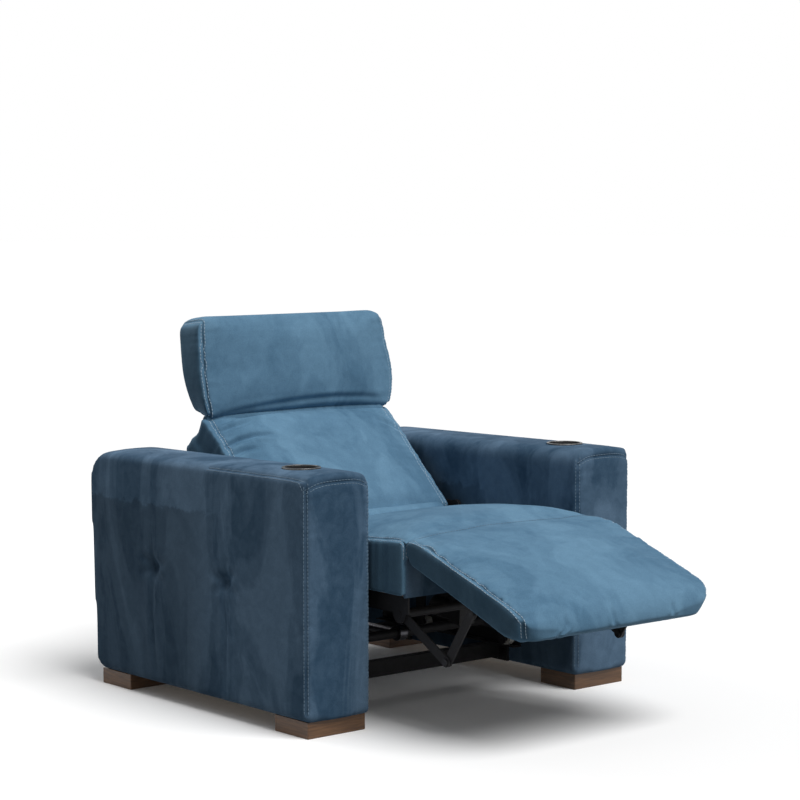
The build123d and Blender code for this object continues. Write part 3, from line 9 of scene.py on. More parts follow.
import bmesh
import bpy
import numpy as np
from bmesh.types import BMesh, BMVert
from bpy.types import Material, Mesh, Node, NodeSocket, NodeTree, Object
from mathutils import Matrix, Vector
from mathutils.bvhtree import BVHTree
from mathutils.kdtree import KDTree


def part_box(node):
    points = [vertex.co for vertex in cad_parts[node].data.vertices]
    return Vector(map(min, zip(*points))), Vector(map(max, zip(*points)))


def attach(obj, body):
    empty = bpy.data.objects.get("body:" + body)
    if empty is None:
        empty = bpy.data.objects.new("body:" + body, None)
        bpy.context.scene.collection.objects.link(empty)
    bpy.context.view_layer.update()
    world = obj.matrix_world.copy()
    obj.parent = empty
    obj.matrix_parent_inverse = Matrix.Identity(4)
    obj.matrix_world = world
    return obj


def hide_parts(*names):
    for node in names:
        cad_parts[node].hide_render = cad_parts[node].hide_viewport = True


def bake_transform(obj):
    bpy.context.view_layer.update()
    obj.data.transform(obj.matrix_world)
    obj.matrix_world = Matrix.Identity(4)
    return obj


LOG = logging.getLogger("recliner")
AXIS_X = Vector((1.0, 0.0, 0.0))
DOWN = Vector((0.0, 0.0, -1.0))
FAR = 0.4              # metres outside a piece, where a probe starts
OVERHEAD = 1.0         # Z above the seat, where a probe starts
WRAP_EASING = 2        # rounds of smoothing that take the steps out of a wrapped skin
RIPPLE_KNOTS = 512     # heights along a line of ripples
RIPPLE_START = 128.0   # the knot at the line's zero
LINE_PARTS = 4         # places measured on each stretch of a line
SHORTEST = 1e-6        # metres; a shorter stretch of a line has no direction
# A stitch's sections: place along it, radius and lift.
STITCH_FORM = ((-0.5, 0.3, -0.3), (-0.34, 1.0, 0.2), (0.34, 1.0, 0.2), (0.5, 0.3, -0.3))

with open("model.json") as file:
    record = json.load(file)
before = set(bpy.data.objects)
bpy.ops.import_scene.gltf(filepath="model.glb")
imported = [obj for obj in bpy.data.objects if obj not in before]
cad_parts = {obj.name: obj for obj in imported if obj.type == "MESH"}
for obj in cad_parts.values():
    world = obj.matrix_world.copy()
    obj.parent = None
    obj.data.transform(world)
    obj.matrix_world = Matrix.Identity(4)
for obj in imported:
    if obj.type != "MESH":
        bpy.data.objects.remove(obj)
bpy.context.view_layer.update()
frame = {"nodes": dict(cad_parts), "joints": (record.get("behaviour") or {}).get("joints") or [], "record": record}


class Side(Enum):
    """Which arm of the chair, as the sign of its X."""

    LEFT = 1
    RIGHT = -1

    @property
    def word(self) -> str:
        """The side as node names have it."""
        return self.name.lower()


class Slot(Enum):
    """The record's material slots."""

    VELVET = "velvet"
    TIMBER = "frame_timber"
    WALNUT = "walnut"
    WEBBING = "webbing"
    BLACK_STEEL = "black_steel"
    ZINC = "zinc_steel"
    ROD = "rod_steel"
    CUP = "cup_liner"
    RIM = "cup_rim_metal"
    NYLON = "roller_nylon"
    MOTOR = "motor_case"
    SWITCH = "switch_plate"
    BUTTON = "button_plastic"


# Finishes
@dataclass(frozen=True)
class Finish:
    """A procedural material made from a Principled shader."""

    name: str
    colour: tuple[float, float, float]
    shade: tuple[float, float, float]
    roughness: float = 0.5
    metallic: float = 0.0
    grain: float = 60.0
    bump: float = 0.1
    bump_depth: float = 0.0004
    specular: float = 0.5
    tone_stops: tuple[float, float] = (0.3, 0.7)
    octaves: float = 4.0
    fine: float = 12.0
    fine_octaves: float = 3.0

    def material(self) -> Material:
        """Build the material, once.

        Returns:
            The Blender material of this finish.
        """
        found = bpy.data.materials.get(self.name)
        if found:
            return found
        made = bpy.data.materials.new(self.name)
        made.use_nodes = True
        tree = made.node_tree
        shader = tree.nodes["Principled BSDF"]
        shader.inputs["Roughness"].default_value = self.roughness
        shader.inputs["Metallic"].default_value = self.metallic
        shader.inputs["Specular IOR Level"].default_value = self.specular
        self.dress(tree, shader)
        return made

    def dress(self, tree: NodeTree, shader: Node) -> None:
        """Add the colour and bump of a plain, slightly uneven surface.

        Args:
            tree: The material's nodes.
            shader: Its Principled shader.
        """
        place = coordinates(tree)
        self.two_toned(tree, shader, noise_node(tree, place, self.grain, self.octaves))
        fine = noise_node(tree, place, self.grain * self.fine, self.fine_octaves)
        bump_node(tree, shader, fine, self.bump, self.bump_depth)

    def two_toned(self, tree: NodeTree, shader: Node, value: NodeSocket) -> None:
        """Colour the shader between its shade and its colour.

        Args:
            tree: The material's nodes.
            shader: Its Principled shader.
            value: Where the tone lies, from 0 to 1.
        """
        tone = ramp_node(tree, value, tuple(zip(self.tone_stops, (self.shade, self.colour))))
        tree.links.new(tone, shader.inputs["Base Color"])


@dataclass(frozen=True)
class Velvet(Finish):
    """Brushed velvet: clouds of nap laid this way and that, a fine pile and a soft sheen."""

    nap_stretch: tuple[float, float, float] = (5.0, 5.0, 2.2)
    nap_stops: tuple[float, float, float, float] = (0.38, 0.455, 0.545, 0.62)
    nap_octaves: float = 5.0
    nap_swirl: float = 1.1
    sheen: float = 0.30
    sheen_tint: tuple[float, float, float] = (0.30, 0.52, 0.74)
    sheen_roughness: float = 0.42
    crush_grain: float = 34.0
    crush_swirl: float = 0.6
    crush_stops: tuple[float, float] = (0.35, 0.75)
    crush_light: float = 1.25
    crush_share: float = 0.22
    pile_grain: float = 420.0
    pile_octaves: float = 2.0
    pile_stops: tuple[float, float] = (0.25, 0.75)
    pile_dark: float = 0.74
    pile_share: float = 0.8
    # painted shade: the share of the colour left on faces that turn sideways, or none
    painted_side_shade: float | None = None
    painted_shade_stops: tuple[float, float] = (0.62, 0.90)
    band_from: float | None = None
    band_behind: float = 0.0
    band_tone: float = 0.66
    band_wobble: float = 0.05
    band_edge: float = 0.008
    band_fade: float = 0.16

    def dress(self, tree: NodeTree, shader: Node) -> None:
        """Add nap, pile, sheen and bump, and painted shade on sideways faces where it is set.

        Args:
            tree: The material's nodes.
            shader: Its Principled shader.
        """
        shader.inputs["Sheen Weight"].default_value = self.sheen
        shader.inputs["Sheen Roughness"].default_value = self.sheen_roughness
        shader.inputs["Sheen Tint"].default_value = (*self.sheen_tint, 1.0)
        place = coordinates(tree)
        brushed = stretched(tree, place, self.nap_stretch)
        nap = noise_node(tree, brushed, 1.0, self.nap_octaves, self.nap_swirl)
        middle = tuple((a + b) / 2 for a, b in zip(self.shade, self.colour))
        broad = ramp_node(tree, nap, tuple(zip(self.nap_stops, (self.shade, middle, middle, self.colour))))
        crush = noise_node(tree, place, self.crush_grain, self.nap_octaves, self.crush_swirl)
        light = tuple(min(1.0, self.crush_light * part) for part in self.colour)
        spots = ramp_node(tree, crush, tuple(zip(self.crush_stops, (self.shade, light))))
        pile = noise_node(tree, place, self.pile_grain, self.pile_octaves)
        fibre = ramp_node(tree, pile, greys(self.pile_stops, (self.pile_dark, 1.0)))
        mixed = mix_node(tree, broad, spots, self.crush_share)
        if self.band_from is not None:
            mixed = mix_node(tree, mixed, self.band(tree, place, crush), 1.0, "MULTIPLY")
        # painted shade on faces that turn sideways
        if self.painted_side_shade is not None:
            mixed = mix_node(tree, mixed, self.boxing(tree), 1.0, "MULTIPLY")
        toned = mix_node(tree, mixed, fibre, self.pile_share, "MULTIPLY")
        tree.links.new(toned, shader.inputs["Base Color"])
        bump_node(tree, shader, pile, self.bump, self.bump_depth)

    def boxing(self, tree: NodeTree) -> NodeSocket:
        """Painted shade on faces that turn sideways, darker the more a normal points along X.

        Args:
            tree: The material's nodes.

        Returns:
            A grey from 1 on the face to the painted shade on the sides.
        """
        parts = tree.nodes.new("ShaderNodeSeparateXYZ")
        tree.links.new(tree.nodes.new("ShaderNodeTexCoord").outputs["Normal"], parts.inputs["Vector"])
        aside = math_node(tree, "ABSOLUTE", parts.outputs["X"])
        return ramp_node(tree, aside, greys(self.painted_shade_stops, (1.0, self.painted_side_shade)))

    def band(
        self, tree: NodeTree, place: NodeSocket, wobble: NodeSocket
    ) -> NodeSocket:
        """The tone of the nap, brushed dark below a line at the rear.

        Args:
            tree: The material's nodes.
            place: The object's coordinates.
            wobble: What makes the line uneven.

        Returns:
            A colour from the plain tone to the darker one.
        """
        parts = tree.nodes.new("ShaderNodeSeparateXYZ")
        tree.links.new(place, parts.inputs["Vector"])
        uneven = math_node(tree, "MULTIPLY_ADD", wobble, self.band_wobble, parts.outputs["Z"])
        below = range_node(tree, uneven, self.band_from + self.band_edge, self.band_from)
        behind = range_node(tree, parts.outputs["Y"], self.band_behind, self.band_behind + self.band_fade)
        both = math_node(tree, "MULTIPLY", below, behind)
        return ramp_node(tree, both, greys((0.0, 1.0), (1.0, self.band_tone)))


@dataclass(frozen=True)
class Wood(Finish):
    """Timber with straight grain along X or Y."""

    tone_stops: tuple[float, float] = (0.32, 0.68)
    octaves: float = 8.0
    grain_scale: tuple[float, float, float] = (6.0, 6.0, 90.0)
    streak: float = 1.6
    swirl: float = 1.4

    def dress(self, tree: NodeTree, shader: Node) -> None:
        """Add streaks of grain and a pore bump.

        Args:
            tree: The material's nodes.
            shader: Its Principled shader.
        """
        grown = stretched(tree, coordinates(tree), self.grain_scale)
        streak = noise_node(tree, grown, self.streak, self.octaves, self.swirl)
        self.two_toned(tree, shader, streak)
        bump_node(tree, shader, streak, self.bump, self.bump_depth)


@dataclass(frozen=True)
class Woven(Finish):
    """Flat woven tape with ribs across it."""

    tone_stops: tuple[float, float] = (0.2, 0.8)
    rib: float = 420.0
    swirl: float = 0.6

    def dress(self, tree: NodeTree, shader: Node) -> None:
        """Add ribs and their bump.

        Args:
            tree: The material's nodes.
            shader: Its Principled shader.
        """
        wave = tree.nodes.new("ShaderNodeTexWave")
        wave.inputs["Scale"].default_value = self.rib
        wave.inputs["Distortion"].default_value = self.swirl
        tree.links.new(coordinates(tree), wave.inputs["Vector"])
        self.two_toned(tree, shader, wave.outputs["Fac"])
        bump_node(tree, shader, wave.outputs["Fac"], self.bump, self.bump_depth)


def coordinates(tree: NodeTree) -> NodeSocket:
    """The object's own coordinates, in metres.

    Args:
        tree: The material's nodes.

    Returns:
        The vector output to read them from.
    """
    return tree.nodes.new("ShaderNodeTexCoord").outputs["Object"]


def stretched(
    tree: NodeTree, place: NodeSocket, scale: tuple[float, float, float]
) -> NodeSocket:
    """Coordinates scaled along each axis.

    Args:
        tree: The material's nodes.
        place: The plain coordinates.
        scale: The factor for each axis.

    Returns:
        The scaled coordinates.
    """
    made = tree.nodes.new("ShaderNodeMapping")
    made.inputs["Scale"].default_value = scale
    tree.links.new(place, made.inputs["Vector"])
    return made.outputs["Vector"]


def noise_node(
    tree: NodeTree, place: NodeSocket, scale: float, octaves: float, swirl: float = 0.0
) -> NodeSocket:
    """A noise texture.

    Args:
        tree: The material's nodes.
        place: The coordinates that it reads.
        scale: Features per metre.
        octaves: How many finer layers it has.
        swirl: How far the pattern is distorted.

    Returns:
        The noise, from 0 to 1.
    """
    made = tree.nodes.new("ShaderNodeTexNoise")
    made.inputs["Scale"].default_value = scale
    made.inputs["Detail"].default_value = octaves
    made.inputs["Distortion"].default_value = swirl
    tree.links.new(place, made.inputs["Vector"])
    return made.outputs["Fac"]


def math_node(
    tree: NodeTree, way: str, *values: NodeSocket | float
) -> NodeSocket:
    """A calculation with one to three values.

    Args:
        tree: The material's nodes.
        way: Blender's name of the operation.
        values: Sockets to link or plain numbers, in order.

    Returns:
        The result.
    """
    made = tree.nodes.new("ShaderNodeMath")
    made.operation = way
    for entry, value in zip(made.inputs, values):
        if isinstance(value, NodeSocket):
            tree.links.new(value, entry)
        else:
            entry.default_value = value
    return made.outputs["Value"]


def range_node(
    tree: NodeTree, value: NodeSocket, start: float, end: float
) -> NodeSocket:
    """How far a value has gone from a start to an end.

    Args:
        tree: The material's nodes.
        value: The value.
        start: Where the result is 0.
        end: Where it is 1.

    Returns:
        The result, from 0 to 1.
    """
    made = tree.nodes.new("ShaderNodeMapRange")
    made.inputs["From Min"].default_value = start
    made.inputs["From Max"].default_value = end
    tree.links.new(value, made.inputs["Value"])
    return made.outputs["Result"]


def greys(stops: tuple[float, float], tones: tuple[float, float]) -> tuple:
    """The stops of a ramp between two greys.

    Args:
        stops: Their positions.
        tones: Their greys.

    Returns:
        Pairs of position and colour.
    """
    return tuple((stop, (tone,) * 3) for stop, tone in zip(stops, tones))


def ramp_node(tree: NodeTree, value: NodeSocket, stops: tuple) -> NodeSocket:
    """A colour ramp.

    Args:
        tree: The material's nodes.
        value: What drives it, from 0 to 1.
        stops: Pairs of position and colour.

    Returns:
        The ramp's colour.
    """
    made = tree.nodes.new("ShaderNodeValToRGB")
    bands = made.color_ramp.elements
    for index, (position, colour) in enumerate(stops):
        band = bands[index] if index < len(bands) else bands.new(position)
        band.position = position
        band.color = (*colour, 1.0)
    tree.links.new(value, made.inputs["Fac"])
    return made.outputs["Color"]


def mix_node(
    tree: NodeTree,
    first: NodeSocket,
    second: NodeSocket,
    share: float,
    way: str = "MIX",
) -> NodeSocket:
    """A colour mix.

    Args:
        tree: The material's nodes.
        first: The colour under.
        second: The colour over.
        share: How much of the second shows.
        way: Blender's name of the blend.

    Returns:
        The mixed colour.
    """
    made = tree.nodes.new("ShaderNodeMix")
    made.data_type = "RGBA"
    made.blend_type = way
    made.inputs["Factor"].default_value = share
    colours = [entry for entry in made.inputs if entry.type == "RGBA"]
    tree.links.new(first, colours[0])
    tree.links.new(second, colours[1])
    return next(entry for entry in made.outputs if entry.type == "RGBA")


def bump_node(
    tree: NodeTree,
    shader: Node,
    height: NodeSocket,
    strength: float,
    depth: float,
) -> None:
    """Link a height to the shader's normal.

    Args:
        tree: The material's nodes.
        shader: The Principled shader.
        height: The height from 0 to 1.
        strength: How much of the bump shows.
        depth: What a height of 1 stands for, in metres.
    """
    made = tree.nodes.new("ShaderNodeBump")
    made.inputs["Strength"].default_value = strength
    made.inputs["Distance"].default_value = depth
    tree.links.new(height, made.inputs["Height"])
    tree.links.new(made.outputs["Normal"], shader.inputs["Normal"])


# The seat velvet darkens faces that turn sideways: painted shade on the pads' sides.
SEAT_VELVET = Velvet(
    "seat_velvet", (0.138, 0.266, 0.387), (0.080, 0.172, 0.268), 0.7, bump=0.25, specular=0.06,
    nap_stops=(0.40, 0.47, 0.53, 0.60), painted_side_shade=0.52,
)
ARM_VELVET = Velvet(
    "arm_velvet", (0.112, 0.185, 0.274), (0.034, 0.073, 0.124), 0.7, bump=0.25, specular=0.06,
    nap_stretch=(5.5, 5.5, 1.7), nap_stops=(0.43, 0.485, 0.525, 0.585), sheen=0.06,
    sheen_tint=(0.24, 0.50, 0.78), band_from=0.522, band_behind=0.10,
)
THREAD = Finish("topstitch_thread", (0.35, 0.45, 0.54), (0.27, 0.37, 0.46), 0.6, grain=300.0)
ARM_THREAD = Finish("arm_topstitch_thread", (0.13, 0.20, 0.27), (0.09, 0.15, 0.21), 0.6, grain=300.0)
# Thread of the chaise seam, coloured near the velvet's dark tone as painted shade of the crease it lies in.
SHADED_STRIP_THREAD = Finish("strip_thread_painted_shade", (0.07, 0.13, 0.19), (0.05, 0.10, 0.15), 0.6, grain=300.0)
WALNUT = Wood("walnut_block", (0.165, 0.080, 0.033), (0.068, 0.031, 0.012), 0.42, bump=0.15)
TIMBER = Wood(
    "frame_softwood", (0.58, 0.43, 0.27), (0.42, 0.29, 0.17), 0.7, bump=0.2, grain_scale=(4.0, 40.0, 90.0)
)
BLACK_STEEL = Finish(
    "black_powder_coat", (0.015, 0.015, 0.017), (0.008, 0.008, 0.009), 0.6, 0.0, 45.0, 0.3, specular=0.2
)
ZINC = Finish("black_zinc", (0.040, 0.040, 0.043), (0.024, 0.024, 0.026), 0.45, 1.0, 120.0, 0.1)
ROD = Finish("ground_rod", (0.11, 0.11, 0.12), (0.07, 0.07, 0.08), 0.35, 1.0, 150.0, 0.05)
CUP = Finish("cup_liner_black", (0.014, 0.014, 0.016), (0.008, 0.008, 0.009), 0.5, 0.0, 80.0, 0.15)
RIM = Finish("cup_rim_dark_steel", (0.13, 0.13, 0.13), (0.08, 0.08, 0.08), 0.36, 1.0, 240.0, 0.1)
NYLON = Finish("roller_nylon", (0.045, 0.045, 0.047), (0.028, 0.028, 0.030), 0.45, 0.0, 40.0, 0.1)
MOTOR = Finish(
    "motor_case_black", (0.024, 0.024, 0.026), (0.014, 0.014, 0.015), 0.6, 0.0, 160.0, 0.35, specular=0.25
)
SWITCH = Finish("switch_plate_steel", (0.34, 0.34, 0.36), (0.24, 0.24, 0.25), 0.32, 1.0, 200.0, 0.1)
BUTTON = Finish("button_black", (0.02, 0.02, 0.022), (0.012, 0.012, 0.013), 0.28, 0.0, 90.0, 0.05)
WEBBING = Woven("elastic_webbing", (0.10, 0.095, 0.09), (0.045, 0.043, 0.04), 0.8, bump=0.5)

CAD_FINISHES = {
    Slot.TIMBER: TIMBER, Slot.WALNUT: WALNUT, Slot.WEBBING: WEBBING, Slot.BLACK_STEEL: BLACK_STEEL,
    Slot.ZINC: ZINC, Slot.ROD: ROD, Slot.CUP: CUP, Slot.RIM: RIM, Slot.NYLON: NYLON, Slot.MOTOR: MOTOR,
    Slot.SWITCH: SWITCH, Slot.BUTTON: BUTTON,
}


# Places
@dataclass(frozen=True)
class Slope:
    """A face that leans back from upright: along runs up it and out stands off it."""

    y: float
    z: float
    lean: float

    @property
    def along(self) -> Vector:
        """Unit vector up the face."""
        turn = math.radians(self.lean)
        return Vector((0.0, math.sin(turn), math.cos(turn)))

    @property
    def out(self) -> Vector:
        """Unit vector off the face."""
        turn = math.radians(self.lean)
        return Vector((0.0, -math.cos(turn), math.sin(turn)))

    def point(self, across: float, along: float, out: float) -> Vector:
        """A place on the slope in the chair's frame.

        Args:
            across: Metres along X.
            along: Metres up the face.
            out: Metres off the face.

        Returns:
            The point.
        """
        return Vector((across, self.y, self.z)) + self.along * along + self.out * out

    def local(self, points: np.ndarray) -> np.ndarray:
        """Points of the chair's frame as columns across, along and out.

        Args:
            points: One point a row.

        Returns:
            The same points on the slope.
        """
        offset = points - np.array((0.0, self.y, self.z))
        return np.stack([offset @ np.array(axis) for axis in (AXIS_X, self.along, self.out)], axis=1)


def hinge_place(joint: str) -> tuple[float, float]:
    """Where a hinge line along X stands.

    Args:
        joint: The joint's name.

    Returns:
        Its Y and Z.
    """
    found = next(entry for entry in frame["joints"] if entry["name"] == joint)
    return found["pos_m"][1], found["pos_m"][2]


def slope_from(joint: str, lean: float, along: float, out: float) -> Slope:
    """The slope on which a hinge stands at a known place.

    Args:
        joint: The hinge.
        lean: Degrees back from upright.
        along: The hinge's place up the face.
        out: Its place off the face.

    Returns:
        The slope.
    """
    y, z = hinge_place(joint)
    at_hinge = Slope(y, z, lean)
    origin = at_hinge.point(0.0, -along, -out)
    return Slope(origin.y, origin.z, lean)


BACK_LEAN = 46.2                      # degrees back from upright, as every lean
HEAD_LEAN = 7.0
FOOTREST_LEAN = 71.1
SEAT_LEAN = 90.0
HEAD_SHAFT = (-0.0087, -0.0273)       # the hinge's place along and out of the headrest's face, in metres
FOOTREST_HINGE = (-0.050, -0.048)     # the same for the footrest


# Meshes
def new_piece(name: str, mesh: Mesh) -> Object:
    """Put a mesh in the scene as a piece.

    Args:
        name: The piece's name.
        mesh: Its mesh.

    Returns:
        The new object.
    """
    made = bpy.data.objects.new(name, mesh)
    bpy.context.scene.collection.objects.link(made)
    return made


def baked(piece: Object) -> None:
    """Apply every modifier of a piece to its mesh."""
    graph = bpy.context.evaluated_depsgraph_get()
    mesh = bpy.data.meshes.new_from_object(piece.evaluated_get(graph))
    old = piece.data
    piece.modifiers.clear()
    piece.data = mesh
    bpy.data.meshes.remove(old)


def mesh_from(name: str, work: BMesh) -> Mesh:
    """The mesh of what was built.

    Args:
        name: The mesh's name.
        work: What was built, which is freed.

    Returns:
        The mesh.
    """
    mesh = bpy.data.meshes.new(name)
    work.to_mesh(mesh)
    work.free()
    return mesh


def built_piece(name: str, work: BMesh, finish: Finish) -> Object:
    """Turn what was built into a smooth piece.

    Args:
        name: The piece's name.
        work: What was built, which is freed.
        finish: The piece's finish.

    Returns:
        The piece.
    """
    mesh = mesh_from(name, work)
    mesh.shade_smooth()
    mesh.materials.append(finish.material())
    return new_piece(name, mesh)


def clad(mesh: Mesh, finish: Finish) -> None:
    """Give a mesh one finish."""
    mesh.materials.clear()
    mesh.materials.append(finish.material())


def report(piece: Object) -> None:
    """Log a finished piece."""
    LOG.info("%s: %d faces", piece.name, len(piece.data.polygons))


def closed_tube(work: BMesh, rings: list[list[BMVert]]) -> None:
    """Join rings of as many vertices into a tube with closed ends.

    Args:
        work: The mesh being built.
        rings: The rings in order.
    """
    for near, far in zip(rings, rings[1:]):
        for step in range(len(near)):
            after = (step + 1) % len(near)
            work.faces.new((near[step], near[after], far[after], far[step]))
    work.faces.new(rings[0][::-1])
    work.faces.new(rings[-1])


def cylinder(name: str, centre: Vector, radius: float, depth: float, segments: int) -> Mesh:
    """An upright cylinder.

    Args:
        name: The mesh's name.
        centre: Its middle.
        radius: Its radius.
        depth: Its height.
        segments: How many flats it has.

    Returns:
        The mesh.
    """
    work = bmesh.new()
    made = bmesh.ops.create_cone(
        work, cap_ends=True, segments=segments, radius1=radius, radius2=radius, depth=depth
    )
    for vert in made["verts"]:
        vert.co += centre
    return mesh_from(name, work)


def add_block(work: BMesh, low: Vector, high: Vector) -> None:
    """Add a box between two corners.

    Args:
        work: The mesh being built.
        low: Lowest corner.
        high: Highest corner.
    """
    made = bmesh.ops.create_cube(work, size=1.0)
    size = high - low
    for vert in made["verts"]:
        share = vert.co + Vector((0.5, 0.5, 0.5))
        vert.co = low + Vector(part * whole for part, whole in zip(share, size))


def cad_work(nodes: list[str]) -> BMesh:
    """The meshes of some CAD nodes in one."""
    work = bmesh.new()
    for node in nodes:
        work.from_mesh(frame["nodes"][node].data)
    return work


def cad_tree(nodes: list[str]) -> BVHTree:
    """A search tree of the surfaces of some CAD nodes."""
    work = cad_work(nodes)
    tree = BVHTree.FromBMesh(work)
    work.free()
    return tree


def voxel_solid(
    name: str,
    nodes: list[str],
    voxel: float,
    blocks: tuple[tuple[Vector, Vector], ...] = (),
    plugs: tuple[Mesh, ...] = (),
) -> Object:
    """One even skin round some CAD nodes, with their inner gaps filled.

    Args:
        name: The new piece's name.
        nodes: The CAD nodes to wrap.
        voxel: Size of the skin's mesh.
        blocks: Boxes that close the pockets the nodes leave open.
        plugs: Meshes that close round holes.

    Returns:
        The new piece.
    """
    work = cad_work(nodes)
    for plug in plugs:
        work.from_mesh(plug)
        bpy.data.meshes.remove(plug)
    for low, high in blocks:
        add_block(work, low, high)
    piece = new_piece(name, mesh_from(name, work))
    wrap = piece.modifiers.new("wrap", "REMESH")
    wrap.mode = "VOXEL"
    wrap.voxel_size = voxel
    baked(piece)
    return piece


def relaxed(piece: Object, rounds: int, share: float = 0.5) -> None:
    """Smooth a piece.

    Args:
        piece: The piece.
        rounds: How many times to smooth.
        share: How far each point goes towards its neighbours.
    """
    ease = piece.modifiers.new("ease", "SMOOTH")
    ease.factor = share
    ease.iterations = rounds
    baked(piece)


def fitted(piece: Object, nodes: list[str], reach: float = 0.012) -> None:
    """Smooth the steps of a wrapped skin and draw it back onto the CAD surfaces that it wraps.

    Args:
        piece: The wrapped piece.
        nodes: The CAD nodes under it.
        reach: A point farther off than this stays where it is.
    """
    relaxed(piece, WRAP_EASING)
    tree = cad_tree(nodes)
    for vert in piece.data.vertices:
        near = tree.find_nearest(vert.co, reach)[0]
        if near is not None:
            vert.co = near
    relaxed(piece, 1)


def refined(piece: Object) -> None:
    """Subdivide a piece once and shade it smooth."""
    finer = piece.modifiers.new("finer", "SUBSURF")
    finer.levels = 1
    finer.render_levels = 1
    baked(piece)
    piece.data.shade_smooth()


class Skin:
    """The vertices of a soft surface while it is being shaped."""

    def __init__(self, piece: Object) -> None:
        """Read the piece.

        Args:
            piece: The piece to shape.
        """
        self.piece = piece
        self.points = np.empty((len(piece.data.vertices), 3), np.float64)
        self.normals = np.empty_like(self.points)
        self.refresh()

    def refresh(self) -> None:
        """Read points and normals from the mesh."""
        flat = np.empty(self.points.size, np.float32)
        self.piece.data.vertices.foreach_get("co", flat)
        self.points[:] = flat.reshape(-1, 3)
        self.piece.data.vertex_normals.foreach_get("vector", flat)
        self.normals[:] = flat.reshape(-1, 3)

    def push(self, amount: np.ndarray) -> None:
        """Move each point along its normal.

        Args:
            amount: Metres outward for each point.
        """
        self.points += self.normals * amount[:, None]
        self.write()

    def write(self) -> None:
        """Put the points back into the mesh."""
        self.piece.data.vertices.foreach_set("co", self.points.astype(np.float32).ravel())
        self.piece.data.update()
        self.refresh()


def evened(piece: Object, values: np.ndarray, rounds: int) -> np.ndarray:
    """Average a value over neighbouring points.

    Args:
        piece: The piece whose edges join the points.
        values: One value a point.
        rounds: How many times to average.

    Returns:
        As many smoother values.
    """
    ends = np.empty(2 * len(piece.data.edges), np.int32)
    piece.data.edges.foreach_get("vertices", ends)
    first, second = ends.reshape(-1, 2).T
    size = len(values)
    count = np.maximum(np.bincount(ends, minlength=size), 1)
    for _ in range(rounds):
        around = np.bincount(first, values[second], size) + np.bincount(second, values[first], size)
        values = (values + around / count) / 2
    return values


def rising(values: np.ndarray, start: float, span: float) -> np.ndarray:
    """How far values have gone from a start.

    Args:
        values: One value a point.
        start: Where the result is 0.
        span: How far on it is 1; below zero it runs down.

    Returns:
        The result for each point, from 0 to 1.
    """
    return np.clip((values - start) / span, 0.0, 1.0)


def drawn_in(size: float, near: np.ndarray, beside: np.ndarray) -> np.ndarray:
    """How far an edge is pulled in where it meets another, to round their corner.

    Args:
        size: The corner's size.
        near: Nearness to the edge, from 0 to 1.
        beside: Nearness to the other edge.

    Returns:
        Metres for each point.
    """
    return size * near * (1.0 - np.sqrt(1.0 - beside**2 / 2))


def ripple(place: np.ndarray, wave: float, seed: int) -> np.ndarray:
    """Smooth uneven ripples along a line.

    Args:
        place: Metres along the line for each point.
        wave: Mean length of a ripple in metres.
        seed: Which ripples.

    Returns:
        Heights from -1 to 1.
    """
    knots = np.random.default_rng(seed).uniform(-1.0, 1.0, RIPPLE_KNOTS)
    at = place / (wave / 2) + RIPPLE_START
    low = np.floor(at).astype(int) % (RIPPLE_KNOTS - 1)
    share = at - np.floor(at)
    share = share * share * (3 - 2 * share)
    return knots[low] * (1 - share) + knots[low + 1] * share


def line_distance(points: np.ndarray, line: tuple) -> tuple[np.ndarray, np.ndarray]:
    """How far flat points lie from a run of straight stretches.

    Args:
        points: Two columns.
        line: The corners of the run.

    Returns:
        The distance of each point, and its place along the run from 0 to 1.
    """
    corners = np.array(line, float)
    lengths = np.linalg.norm(np.diff(corners, axis=0), axis=1)
    best = np.full(len(points), np.inf)
    place = np.zeros(len(points))
    done = 0.0
    for start, end, length in zip(corners, corners[1:], lengths):
        share = np.clip((points - start) @ (end - start) / length**2, 0.0, 1.0)
        gap = np.linalg.norm(points - start - share[:, None] * (end - start), axis=1)
        near = gap < best
        best = np.where(near, gap, best)
        place = np.where(near, (done + share * length) / lengths.sum(), place)
        done += length
    return best, place


def cloud_distance(points: np.ndarray, line: list[Vector], reach: float) -> np.ndarray:
    """How far points lie from a line in space.

    Args:
        points: One point a row.
        line: Places along the line.
        reach: Farther than this isn't measured.

    Returns:
        The distance of each point, or ten times the reach where it is far off.
    """
    found = np.full(len(points), 10 * reach)
    if len(line) < 2:
        return found
    tree = KDTree(LINE_PARTS * len(line))
    for index, (start, end) in enumerate(zip(line, line[1:])):
        for part in range(LINE_PARTS):
            tree.insert(start.lerp(end, part / LINE_PARTS), LINE_PARTS * index + part)
    tree.balance()
    corners = np.array(line, float)
    inside = np.all((points > corners.min(axis=0) - reach) & (points < corners.max(axis=0) + reach), axis=1)
    for index in np.flatnonzero(inside):
        found[index] = tree.find(points[index])[2]
    return found


def crease_form(
    gap: np.ndarray, width: float, ridge: float, bank_at: float, bank_width: float
) -> np.ndarray:
    """The section of a crease: a valley with a ridge at each side.

    Args:
        gap: Metres from the crease's line for each point.
        width: Width of the valley.
        ridge: Height of the ridges, as a share of the valley's depth.
        bank_at: How many widths the ridges are from the line.
        bank_width: How many widths the ridges are wide.

    Returns:
        Heights from -1 in the valley.
    """
    valley = np.exp(-((gap / width) ** 2))
    bank = np.exp(-(((gap - bank_at * width) / (bank_width * width)) ** 2))
    return ridge * bank - valley


